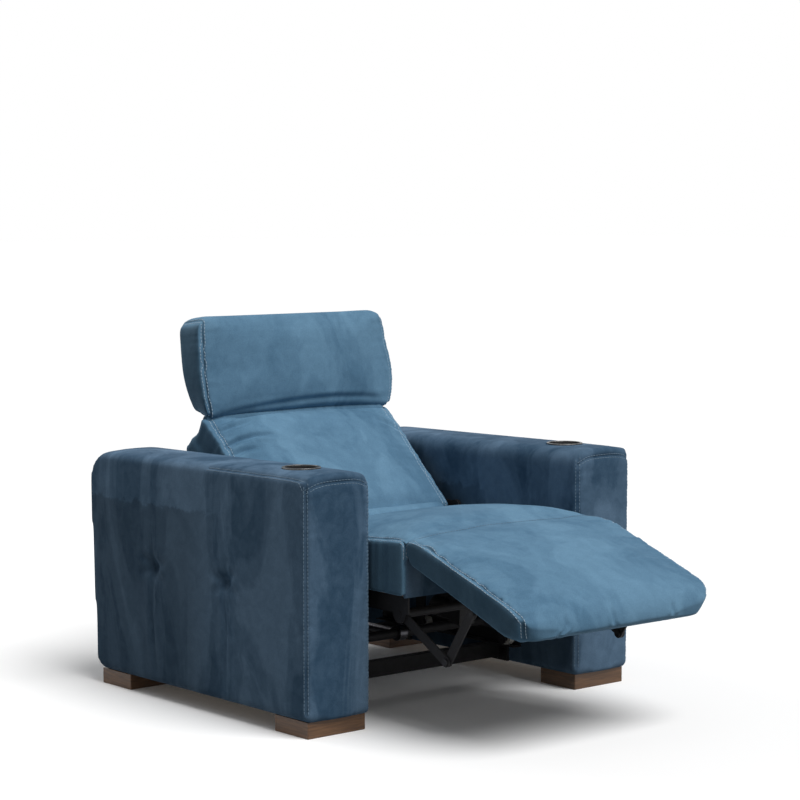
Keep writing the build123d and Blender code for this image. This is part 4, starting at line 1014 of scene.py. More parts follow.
@dataclass(frozen=True)
class Fold:
    """A soft crease in a face, through a few points of the face, with a ridge at each side."""

    line: tuple[tuple[float, float], ...]
    depth: float
    width: float
    ridge: float = 0.45
    bank_at: float = 2.1
    bank_width: float = 1.2
    tip: float = 0.02

    def height(self, flat: np.ndarray) -> np.ndarray:
        """How far the face moves out.

        Args:
            flat: Two columns, the face's own coordinates.

        Returns:
            Metres for each point.
        """
        gap, place = line_distance(flat, self.line)
        taper = np.sqrt(np.sin(np.pi * np.clip(place, self.tip, 1.0 - self.tip)))
        return self.depth * taper * crease_form(gap, self.width, self.ridge, self.bank_at, self.bank_width)

    def mirrored(self) -> "Fold":
        """The fold on the other side of the face's zero line."""
        return replace(self, line=tuple((-first, second) for first, second in self.line))


# Sewing
@dataclass
class Stitching:
    """Topstitches on a face, gathered into one piece for each body."""

    body: str
    name: str
    pitch: float = 0.0092
    length: float = 0.0078
    thread: float = 0.00095
    sides: int = 6
    easing: int = 4
    finish_used: Finish = THREAD
    work: BMesh = field(default_factory=bmesh.new)

    def row(self, probe: "Probe", points: list[Vector], normals: list[Vector], offset: float) -> None:
        """Sew one row beside a line on the cloth.

        Args:
            probe: The cloth's probe.
            points: The line.
            normals: The cloth's normal at each point.
            offset: Metres to the side of the line.
        """
        if len(points) < 3:
            return
        points, normals = self.eased(points), self.eased(normals)
        moved = []
        for index, (point, normal) in enumerate(zip(points, normals)):
            ahead = points[min(index + 1, len(points) - 1)] - points[max(index - 1, 0)]
            aside = normal.cross(ahead).normalized()
            moved.append(point + aside * offset)
        self.dashes(*probe.nearest(self.eased(moved)))

    def eased(self, line: list[Vector]) -> list[Vector]:
        """A run of vectors with each one drawn towards its neighbours.

        Args:
            line: The vectors in order.

        Returns:
            As many smoother vectors.
        """
        for _ in range(self.easing):
            inner = [(a + 2 * b + c) / 4 for a, b, c in zip(line, line[1:], line[2:])]
            line = [line[0], *inner, line[-1]]
        return line

    def dashes(self, points: list[Vector], normals: list[Vector]) -> None:
        """Lay stitches end to end along a line.

        Args:
            points: The line.
            normals: The cloth's normal at each point.
        """
        left = self.pitch / 2
        for start, end, normal in zip(points, points[1:], normals):
            span = (end - start).length
            if span < SHORTEST:
                continue
            ahead = (end - start) / span
            while left < span:
                self.dash(start + ahead * left, ahead, normal)
                left += self.pitch
            left -= span

    def dash(self, middle: Vector, ahead: Vector, normal: Vector) -> None:
        """One stitch: a short thread, thin at its ends.

        Args:
            middle: Its middle on the cloth.
            ahead: The way it runs.
            normal: The cloth's normal.
        """
        aside = normal.cross(ahead).normalized()
        up = ahead.cross(aside)
        rings = []
        for share, radius, lift in STITCH_FORM:
            centre = middle + ahead * share * self.length + up * lift * self.thread
            ring = []
            for step in range(self.sides):
                angle = math.tau * step / self.sides
                spread = aside * math.cos(angle) + up * math.sin(angle)
                ring.append(self.work.verts.new(centre + spread * self.thread * radius))
            rings.append(ring)
        closed_tube(self.work, rings)

    def finish(self) -> None:
        """Close the stitches into a piece that rides on its body."""
        piece = built_piece(self.name, self.work, self.finish_used)
        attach(piece, self.body)
        LOG.info("%s: %d stitches", self.name, len(piece.data.polygons) // (3 * self.sides + 2))


class Probe:
    """Finds places on a finished skin."""

    def __init__(self, piece: Object) -> None:
        """Read the piece.

        Args:
            piece: The finished piece.
        """
        self.tree = BVHTree.FromObject(piece, bpy.context.evaluated_depsgraph_get())

    def line(self, starts: list[Vector], ways: list[Vector]) -> tuple[list[Vector], list[Vector]]:
        """Shoot at the skin from outside.

        Args:
            starts: Where each shot starts.
            ways: Its direction.

        Returns:
            The places that were hit and the skin's normals there.
        """
        points, normals = [], []
        for start, way in zip(starts, ways):
            point, normal, _, _ = self.tree.ray_cast(start, way)
            if point is not None:
                points.append(point)
                normals.append(normal)
        return points, normals

    def nearest(self, places: list[Vector]) -> tuple[list[Vector], list[Vector]]:
        """Drop places onto the skin.

        Args:
            places: Places close to the skin.

        Returns:
            The nearest places on the skin and its normals there.
        """
        found = [self.tree.find_nearest(place) for place in places]
        return [hit[0] for hit in found], [hit[1] for hit in found]


# Upholstery
@dataclass(frozen=True)
class Cloth:
    """How the cover of a pad is blown up as cloth."""

    quality: int = 6
    frames: int = 20
    mass: float = 0.3
    tension: float = 15.0
    shear: float = 5.0
    bending: float = 1.5
    pressure: float = 4.0
    stretch: float = -0.008
    fullest: float = 99.0      # the percentile of the swell that counts as its most

    def blow(self, piece: Object, fixed: np.ndarray) -> None:
        """Run the simulation on a piece.

        Args:
            piece: The wrapped pad.
            fixed: Which of its points are held.
        """
        held = piece.vertex_groups.new(name="held")
        held.add(np.flatnonzero(fixed).tolist(), 1.0, "REPLACE")
        settings = piece.modifiers.new("cloth", "CLOTH").settings
        settings.quality = self.quality
        settings.mass = self.mass
        settings.tension_stiffness = self.tension
        settings.compression_stiffness = self.tension
        settings.shear_stiffness = self.shear
        settings.bending_stiffness = self.bending
        settings.use_pressure = True
        settings.uniform_pressure_force = self.pressure
        settings.shrink_min = self.stretch
        settings.vertex_group_mass = held.name
        settings.effector_weights.gravity = 0.0
        for step in range(1, self.frames + 1):
            bpy.context.scene.frame_set(step)
        baked(piece)
        bpy.context.scene.frame_set(1)
        piece.vertex_groups.clear()


@dataclass
class Pad:
    """A stuffed velvet pad on a slope, with a side seam near each end of its width."""

    slope: Slope
    name: str = ""
    nodes: tuple[str, ...] = ()
    fillers: tuple[str, ...] = ()
    body: str = ""
    finish: Finish = SEAT_VELVET
    voxel: float = 0.008
    cloth: Cloth = Cloth()
    cap: float = 0.012
    start_inset: float = 0.002
    evening: int = 8
    side_hold: float = 0.85
    held_below: float = -0.03
    seam_inset: float = 0.012
    seam_depth: float = 0.0045
    seam_width: float = 0.0045
    seam_hold: float = 0.6       # voxels beside a seam that the cloth is held in
    seam_from: float = -100.0    # degrees from out towards along, where a seam starts
    seam_to: float = 100.0
    seam_step: float = 1.5
    face_from: float = -0.1      # how far a normal points out where the face starts
    face_span: float = 0.5
    face_gather: float = 0.0018
    face_wave: float = 0.026
    face_reach: float = 0.045
    gather_from: float = 0.012
    boxing_from: float = 0.3     # how far a normal points aside where the sides start
    boxing_span: float = 0.5
    side_gather: float = 0.0018
    side_wave: float = 0.018
    side_swell: float = 2.7      # how much longer the second waves are
    side_reach: float = 0.05
    side_shift: float = 3.0      # metres between the waves of the two sides
    stitch_gap: float = 0.0062
    corner: float = 0.05
    creases: tuple[Fold, ...] = ()
    fill: float = 0.75
    seed: int = 1
    seams: list[list[Vector]] = field(default_factory=list)

    def build(self) -> Object:
        """Wrap, stuff, shape and sew the pad.

        Returns:
            The finished piece.
        """
        wrapped = [*self.nodes, *self.fillers]
        piece = voxel_solid(self.name, wrapped, self.voxel)
        fitted(piece, wrapped)
        self.stuff(piece)
        refined(piece)
        self.shape(piece)
        clad(piece.data, self.finish)
        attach(piece, self.body)
        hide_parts(*self.nodes)
        report(piece)
        self.sew(piece)
        return piece

    def half(self) -> float:
        """Half of the pad's width."""
        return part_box(self.nodes[0])[1].x

    def local_box(self) -> tuple[np.ndarray, np.ndarray]:
        """Lowest and highest across, along and out of the CAD pad."""
        mesh = frame["nodes"][self.nodes[0]].data
        local = self.slope.local(np.array([vert.co for vert in mesh.vertices], float))
        return local.min(axis=0), local.max(axis=0)

    def aside(self, local: np.ndarray) -> np.ndarray:
        """How near points are to the pad's ends, from 0 in the middle to 1."""
        return rising(np.abs(local[:, 0]), 0.0, self.half())

    def cornered(self, local: np.ndarray) -> np.ndarray:
        """How far points are in the corners, from 0 to 1 at the pad's ends."""
        return rising(np.abs(local[:, 0]), self.half() - self.corner, self.corner)

    def stuff(self, piece: Object) -> None:
        """Blow the cloth up a little, held by its underside.

        Args:
            piece: The wrapped pad.
        """
        skin = Skin(piece)
        before, outward = skin.points.copy(), skin.normals.copy()
        local = self.slope.local(before)
        on_seam = np.abs(np.abs(local[:, 0]) - self.half() + self.seam_inset) < self.voxel * self.seam_hold
        fixed = (local[:, 2] < self.held_below) | on_seam
        skin.push(np.where(fixed, 0.0, -self.start_inset))
        self.cloth.blow(piece, fixed)
        skin = Skin(piece)
        swell = np.einsum("ij,ij->i", skin.points - before, outward)
        most = max(float(np.percentile(swell, self.cloth.fullest)), self.cap)
        LOG.info("%s: cloth swelled %.1f mm", self.name, 1000 * most)
        swell = np.clip(swell * self.cap / most, -self.start_inset, self.cap)
        swell *= 1.0 - self.side_hold * outward[:, 0] ** 2
        skin.points = before + outward * evened(piece, swell, self.evening)[:, None]
        skin.write()

    def shape(self, piece: Object) -> None:
        """Press seams, gathers and folds into the pad.

        Args:
            piece: The stuffed pad.
        """
        probe = Probe(piece)
        self.seams = [self.seam_line(probe, side.value * (self.half() - self.seam_inset)) for side in Side]
        skin = Skin(piece)
        local = self.slope.local(skin.points)
        out = skin.normals @ np.array(self.slope.out)
        height = self.seam_relief(local, skin.normals)
        height += self.folds(local, rising(out, self.face_from, self.face_span))
        skin.push(height)
        skin.points = self.deformed(skin.points)
        skin.write()

    def deformed(self, points: np.ndarray) -> np.ndarray:
        """Where the pad's own form takes points of the plain pad.

        Args:
            points: One point a row.

        Returns:
            The points after it.
        """
        return points

    def seam_relief(self, local: np.ndarray, normals: np.ndarray) -> np.ndarray:
        """The seam grooves and the gathers at both sides of them.

        Args:
            local: Across, along and out of each point.
            normals: Normal of each point.

        Returns:
            Metres outward for each point.
        """
        gap = np.abs(local[:, 0]) - (self.half() - self.seam_inset)
        groove = -self.seam_depth * np.exp(-((gap / self.seam_width) ** 2))
        place = local[:, 1] + np.sign(local[:, 0]) * self.side_shift
        face = ripple(place, self.face_wave, self.seed) * np.exp(np.minimum(gap, 0.0) / self.face_reach)
        face *= rising(gap, 0.0, -self.gather_from)
        boxing = rising(np.abs(normals[:, 0]), self.boxing_from, self.boxing_span)
        depth = self.local_box()[1][2] - local[:, 2]
        waves = ripple(place, self.side_wave, self.seed + 1)
        waves += ripple(place, self.side_swell * self.side_wave, self.seed + 2)
        side = waves * boxing * np.exp(-depth / self.side_reach)
        return groove + self.face_gather * face + self.side_gather * side

    def folds(self, local: np.ndarray, facing: np.ndarray) -> np.ndarray:
        """The pad's own folds.

        Args:
            local: Across, along and out of each point.
            facing: From 0 on the sides and back to 1 on the face.

        Returns:
            Metres outward for each point.
        """
        return sum(fold.height(local[:, :2]) for fold in self.creases) * facing

    def sew(self, piece: Object) -> None:
        """Sew a double row along both side seams.

        Args:
            piece: The finished pad.
        """
        probe = Probe(piece)
        stitching = Stitching(self.body, f"{self.name}_stitches")
        for line in self.seams:
            formed = self.deformed(np.array(line, float))
            points, normals = probe.nearest([Vector(point) for point in formed])
            for offset in (-self.stitch_gap, self.stitch_gap):
                stitching.row(probe, points, normals, offset)
        stitching.finish()

    def seam_line(self, probe: Probe, across: float) -> list[Vector]:
        """The line of a side seam round the pad.

        Args:
            probe: The pad's probe.
            across: The seam's X.

        Returns:
            Its points.
        """
        low, high = self.local_box()
        along, out = (low[1] + high[1]) / 2, (low[2] + high[2]) / 2
        half_along, half_out = (high[1] - low[1]) / 2, (high[2] - low[2]) / 2
        starts, ways = [], []
        for angle in np.arange(self.seam_from, self.seam_to, self.seam_step):
            turn = math.radians(angle)
            core = (along + (half_along - half_out) * math.sin(turn), out)
            rim = (core[0] + FAR * math.sin(turn) ** 3, out + FAR * math.cos(turn))
            start = self.slope.point(across, *rim)
            starts.append(start)
            ways.append((self.slope.point(across, *core) - start).normalized())
        return probe.line(starts, ways)[0]


@dataclass
class SeatPad(Pad):
    """The crowned seat, with gathered sides that hang over its frame and a seam along its top."""

    name: str = "seat_pad"
    nodes: tuple[str, ...] = ("seat_cushion",)
    body: str = "seat_carriage"
    cap: float = 0.022
    seam_from: float = -84.0
    seam_to: float = 84.0
    side_gather: float = 0.0020
    side_wave: float = 0.026
    side_reach: float = 0.2
    skirt: float = 0.04          # height of the sides that stay where they are
    skirt_fade: float = 0.09
    knee_rise: float = 0.016
    knee_flank: float = 0.75     # share of the rise that is missing at the sides
    rear_fall: float = 0.052
    flank_fall: float = -0.020
    edge_fall: float = 0.006
    seed: int = 3

    def deformed(self, points: np.ndarray) -> np.ndarray:
        """Tip the seat, high at the knee and low at the back.

        Args:
            points: One point a row.

        Returns:
            The points of the tipped seat.
        """
        local = self.slope.local(points)
        low, high = self.local_box()
        front = rising(local[:, 1], high[1], low[1] - high[1])
        top = rising(local[:, 2], low[2] + self.skirt, self.skirt_fade)
        side = self.aside(local) ** 3
        rise = self.knee_rise * front * (1.0 - self.knee_flank * side)
        fall = (self.rear_fall + self.flank_fall * side) * (1.0 - front) + self.edge_fall * side
        return points + np.outer((rise - fall) * top, np.array(self.slope.out))


@dataclass
class FootrestPad(Pad):
    """The footrest's pad, gathered at its toe, with seams from the toe's underside to the seat."""

    name: str = "footrest_pad"
    nodes: tuple[str, ...] = ("footrest_cushion",)
    body: str = "footrest"
    cap: float = 0.018
    held_below: float = -0.062
    seam_from: float = -118.0
    seam_to: float = 80.0
    face_gather: float = 0.0040
    face_wave: float = 0.021
    face_reach: float = 0.048
    # Place across, run and drift of each crease.
    toe_creases: tuple[tuple[float, float, float], ...] = (
        (-0.205, 0.046000, 0.022000),
        (-0.022, 0.030422, -0.007112),
        (0.185, 0.018858, -0.017401),
    )
    toe_depth: float = 0.0062
    toe_width: float = 0.0062
    toe_ridge: float = 0.5
    toe_bank_at: float = 2.0
    toe_bank_width: float = 1.3
    toe_middle: float = 0.045
    toe_edge: float = 0.05       # depth of the toe's lower edge
    toe_reach: float = 0.022
    lump_height: float = 0.002
    lump_wave: float = 0.16
    lump_slant: float = 0.4
    side_gather: float = 0.0012
    knee_rise: float = 0.020
    toe_rise: float = 0.006
    rise_curve: float = 1.5
    rise_ends: float = 0.7       # share of the depth below which nothing rises
    rise_fade: float = 0.5
    crown_fall: float = 0.7
    nose: float = 0.070
    nose_level: float = 0.38
    nose_round: float = 0.98
    corner: float = 0.066
    undercut: float = 0.060
    spread: float = 0.010
    seed: int = 5

    def deformed(self, points: np.ndarray) -> np.ndarray:
        """Crown the pad towards the knee, round its toe and draw its sides in below.

        Args:
            points: One point a row.

        Returns:
            The points of the formed pad.
        """
        local = self.slope.local(points)
        low, high = self.local_box()
        share = rising(local[:, 1], low[1], high[1] - low[1])
        depth = rising(local[:, 2], high[2], low[2] - high[2])
        crown = 1.0 - self.crown_fall * self.aside(local) ** 4
        rise = self.toe_rise + (self.knee_rise - self.toe_rise) * share**self.rise_curve
        rise = rise * crown * rising(depth, self.rise_ends, -self.rise_fade)
        end = rising(local[:, 1], low[1] + self.nose, -self.nose)
        offset = local[:, 2] - low[2] - self.nose_level * (high[2] - low[2])
        rounded = np.sqrt(1.0 - self.nose_round * end**2)
        formed = points + np.outer(rise + offset * (rounded - 1.0), np.array(self.slope.out))
        formed -= np.outer(self.toe_reach * end, np.array(self.slope.along))
        wide = self.spread * (1.0 - depth) - self.undercut * self.half() * depth**2
        formed[:, 0] += np.sign(local[:, 0]) * self.aside(local) ** 3 * wide
        across = self.cornered(local)
        ahead = rising(local[:, 1], low[1] + self.corner, -self.corner)
        formed[:, 0] -= np.sign(local[:, 0]) * drawn_in(self.corner, across, ahead)
        return formed + np.outer(drawn_in(self.corner, ahead, across), np.array(self.slope.along))

    def folds(self, local: np.ndarray, facing: np.ndarray) -> np.ndarray:
        """Creases that run up over the toe from its underside, and soft lumps.

        Args:
            local: Across, along and out of each point.
            facing: From 0 on the sides and back to 1 on the face.

        Returns:
            Metres outward for each point.
        """
        toe = self.local_box()[0][1]
        away = (local[:, 1] - toe) + np.maximum(local[:, 2] + self.toe_edge, 0.0)
        height = np.zeros(len(local))
        for across, run, drift in self.toe_creases:
            gap = np.abs(local[:, 0] - across - drift * rising(away, 0.0, run))
            fade = np.exp(-(((away - self.toe_middle) / run) ** 2))
            form = crease_form(gap, self.toe_width, self.toe_ridge, self.toe_bank_at, self.toe_bank_width)
            height += self.toe_depth * fade * form
        lumps = ripple(local[:, 0] + self.lump_slant * local[:, 1], self.lump_wave, self.seed + 7)
        return height + self.lump_height * lumps * facing


@dataclass
class BackPad(Pad):
    """The back: crowned front, boxed sides and rear in one cover, creased where the headrest pulls at it."""

    name: str = "back_pad"
    nodes: tuple[str, ...] = ("back_cushion", "back_outer_panel")
    fillers: tuple[str, ...] = ("back_frame", "headrest_shaft_brackets", "headrest_motor")
    body: str = "back"
    cap: float = 0.022
    held_below: float = -0.070
    seam_from: float = -78.0
    seam_to: float = 84.0
    seam_inset: float = 0.021
    neck_from: float = 0.29
    neck_run: float = 0.08
    neck_under: float = -0.05
    neck_fade: float = 0.04
    neck_reach: float = 0.012
    neck_arch: float = 0.015
    neck_roll_off: float = 0.009
    frame_clear: float = 0.006
    clear_reach: float = 0.012
    face_gather: float = 0.0026
    creases: tuple[Fold, ...] = (
        Fold(((-0.306, 0.332), (-0.240, 0.343), (-0.150, 0.352), (-0.050, 0.356)), 0.0105, 0.0068),
        Fold(((-0.306, 0.312), (-0.250, 0.318), (-0.180, 0.327)), 0.0075, 0.0064),
        Fold(((-0.310, 0.262), (-0.262, 0.276), (-0.205, 0.280), (-0.150, 0.274)), 0.0105, 0.0070),
        Fold(((-0.306, 0.232), (-0.262, 0.240), (-0.215, 0.238)), 0.0065, 0.0062),
        Fold(((0.312, 0.272), (0.276, 0.292), (0.225, 0.304)), 0.0062, 0.0075),
        Fold(((0.312, 0.322), (0.240, 0.338), (0.140, 0.346)), 0.0038, 0.0075),
    )
    seed: int = 7

    def deformed(self, points: np.ndarray) -> np.ndarray:
        """Draw the upper end up to the neck in an arch.

        Args:
            points: One point a row.

        Returns:
            The points of the arched back.
        """
        local = self.slope.local(points)
        end = rising(local[:, 1], self.neck_from, self.neck_run)
        end *= rising(local[:, 2], self.neck_under, self.neck_fade)
        arch = 1.0 - self.aside(local) ** 2
        reach = np.outer((self.neck_reach + self.neck_arch * arch) * end, np.array(self.slope.along))
        return points + reach - np.outer(self.neck_roll_off * end**2, np.array(self.slope.out))

    def shape(self, piece: Object) -> None:
        """Clear the timber frame before the seams are pressed.

        Args:
            piece: The stuffed pad.
        """
        skin = Skin(piece)
        tree = cad_tree(list(self.fillers))
        gaps = np.array([tree.find_nearest(Vector(point))[3] for point in skin.points])
        skin.push(self.frame_clear * np.exp(-((gaps / self.clear_reach) ** 2)))
        super().shape(piece)


@dataclass
class HeadrestPad(Pad):
    """The headrest: full at the top, drawn in to the neck at the bottom, sewn from the neck to the rear."""

    name: str = "headrest_pad"
    nodes: tuple[str, ...] = ("headrest_cushion",)
    fillers: tuple[str, ...] = ("headrest_board",)
    body: str = "headrest"
    voxel: float = 0.007
    held_below: float = -0.2
    seam_from: float = -66.0
    seam_to: float = 205.0
    face_gather: float = 0.0009
    side_gather: float = 0.0014
    side_wave: float = 0.017
    side_reach: float = 0.040
    ends_from: float = 0.20
    ends_run: float = 0.11
    neck_height: float = 0.150
    neck_draw: float = 0.044
    front_share: float = 0.15
    neck_hang: float = 0.012
    neck_arch: float = 0.013
    hang_run: float = 0.07
    hang_under: float = -0.06
    hang_fade: float = 0.05
    belly: float = 0.024
    belly_at: float = 0.075
    belly_run: float = 0.085
    belly_under: float = -0.10
    belly_fade: float = 0.07
    near_belly: float = 0.15
    creases: tuple[Fold, ...] = (
        Fold(
            ((-0.270, 0.008), (-0.180, 0.014), (-0.090, 0.020), (0.010, 0.026), (0.110, 0.029),
             (0.210, 0.027), (0.300, 0.020)), 0.0036, 0.0065,
        ),
    )
    seed: int = 9

    def deformed(self, points: np.ndarray) -> np.ndarray:
        """Draw the lower corners in, bow the sides and round the upper corners.

        Args:
            points: One point a row.

        Returns:
            The points of the formed headrest.
        """
        local = self.slope.local(points)
        box_low, box_high = self.local_box()
        depth = rising(local[:, 2], box_high[2], box_low[2] - box_high[2])
        low = rising(local[:, 1], self.neck_height, -self.neck_height) ** 2
        ends = rising(np.abs(local[:, 0]), self.ends_from, self.ends_run) ** 2
        draw = self.neck_draw * (self.front_share + (1.0 - self.front_share) * depth)
        belly = np.exp(-(((local[:, 1] - self.belly_at) / self.belly_run) ** 2))
        belly *= rising(local[:, 2], self.belly_under, self.belly_fade)
        belly *= np.where(local[:, 0] > 0.0, 1.0, self.near_belly)
        hang = rising(local[:, 1], self.hang_run, -self.hang_run)
        hang *= rising(local[:, 2], self.hang_under, self.hang_fade)
        arch = 1.0 - self.aside(local) ** 2
        across = self.cornered(local)
        above = rising(local[:, 1], box_high[1] - self.corner, self.corner)
        drop = (self.neck_hang - self.neck_arch * arch) * hang + drawn_in(self.corner, above, across)
        inward = (draw * low - self.belly * belly) * ends + drawn_in(self.corner, across, above)
        formed = points - np.outer(drop, np.array(self.slope.along))
        formed[:, 0] -= np.sign(local[:, 0]) * inward
        return formed


def border(sheet: list[list[BMVert]]) -> list[BMVert]:
    """The outer vertices of a grid, in order round it."""
    far_side = [row[-1] for row in sheet[-2::-1]]
    return [row[0] for row in sheet] + sheet[-1][1:] + far_side + sheet[0][-2:0:-1]


@dataclass
class ChaiseStrip:
    """The strip of velvet that joins seat and footrest over their hinge."""

    name: str = "chaise_strip"
    half: float = 0.316
    reach: float = 0.038
    inner_share: float = 0.62    # share of the reach where the strip still lies on the pads
    gap_ahead: float = 0.001
    sink: float = 0.006
    sink_from: float = 0.72      # share of the way to an edge where it starts to sink
    crease: float = 0.0035
    crease_width: float = 0.14
    crease_middle: float = 0.2   # share of the crease's depth in the middle of the chair
    lift: float = 0.0006
    thickness: float = 0.004
    bend_half: float = 0.016
    narrowing: float = 0.995
    row_at: float = 0.019
    row_margin: float = 0.012
    row_step: float = 0.006
    columns: int = 150
    rows: int = 37
    fill: float = 0.5

    def build(self, seat: Object, footrest: Object) -> None:
        """Lay the strip over the gap between the two pads.

        Args:
            seat: The finished seat pad.
            footrest: The finished footrest pad.
        """
        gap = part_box("seat_cushion")[0].y - self.gap_ahead
        probes = (Probe(footrest), Probe(seat))
        places = np.linspace(-self.half, self.half, self.columns)
        grid = [self.profile(float(x), gap, probes) for x in places]
        work = bmesh.new()
        top = [[work.verts.new(point) for point in row] for row in grid]
        under = [[work.verts.new(point + DOWN * self.thickness) for point in row] for row in grid]
        for sheet, turn in ((top, 1), (under, -1)):
            for near, far in zip(sheet, sheet[1:]):
                for step in range(self.rows - 1):
                    corners = (near[step], far[step], far[step + 1], near[step + 1])
                    work.faces.new(corners[::turn])
        rim, low = border(top), border(under)
        for step in range(len(rim)):
            after = (step + 1) % len(rim)
            work.faces.new((rim[step], low[step], low[after], rim[after]))
        bmesh.ops.recalc_face_normals(work, faces=work.faces)
        piece = built_piece(self.name, work, SEAT_VELVET)
        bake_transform(piece)
        report(piece)
        self.sew(piece, gap)

    def profile(self, x: float, gap: float, probes: tuple[Probe, Probe]) -> list[Vector]:
        """One section of the strip, from the footrest to the seat.

        Args:
            x: Its place across the chair.
            gap: Y of the gap.
            probes: The footrest's and the seat's probes.

        Returns:
            Its points.
        """
        footrest, seat = probes
        shares = ((footrest, -1.0), (footrest, -self.inner_share), (seat, self.inner_share), (seat, 1.0))
        hits = [self.surface(probe, x, gap + share * self.reach) for probe, share in shares]
        middle = self.crease_middle + (1.0 - self.crease_middle) * (x / self.half) ** 2
        points = []
        for share in np.linspace(0.0, 1.0, self.rows):
            y = float(hits[0].y + (hits[-1].y - hits[0].y) * share)
            z = float(np.interp(y, [hit.y for hit in hits], [hit.z for hit in hits]))
            edge = abs(2.0 * share - 1.0)
            dip = self.crease * middle * math.exp(-((edge / self.crease_width) ** 2))
            sunk = self.sink * max(0.0, (edge - self.sink_from) / (1.0 - self.sink_from)) ** 2
            points.append(Vector((x, y, z + self.lift - dip - sunk)))
        return points

    def surface(self, probe: Probe, x: float, y: float) -> Vector:
        """The top of a pad at a place, or just inside it where the pad is narrower.

        Args:
            probe: The pad's probe.
            x: The place across the chair.
            y: The place along it.

        Returns:
            The point of the strip over it.
        """
        inner = x
        found = []
        while not found:
            found = probe.line([Vector((inner, y, OVERHEAD))], [DOWN])[0]
            inner *= self.narrowing
        return Vector((x, y, found[0].z))

    def sew(self, piece: Object, gap: float) -> None:
        """Sew a row on the footrest's side of the crease.

        Args:
            piece: The finished strip.
            gap: Y of the crease.
        """
        probe = Probe(piece)
        end = self.half - self.row_margin
        starts = [Vector((x, gap - self.row_at, OVERHEAD)) for x in np.arange(-end, end, self.row_step)]
        # the thread's dark colour is painted shade of the crease
        stitching = Stitching("footrest", f"{self.name}_stitches", finish_used=SHADED_STRIP_THREAD)
        stitching.row(probe, *probe.line(starts, [DOWN] * len(starts)), 0.0)
        stitching.finish()


TUFT_FOLDS = (
    Fold(((0.0, -0.01), (0.006, -0.12), (-0.004, -0.27)), 0.0042, 0.009),
    Fold(((0.005, 0.005), (0.045, 0.028)), 0.003, 0.009),
    Fold(((-0.005, 0.004), (-0.05, 0.016)), 0.003, 0.009),
    Fold(((0.006, -0.004), (0.055, -0.022)), 0.0026, 0.009),
    Fold(((-0.006, -0.006), (-0.045, -0.034)), 0.0026, 0.009),
    Fold(((0.002, 0.01), (0.01, 0.06)), 0.002, 0.009),
)


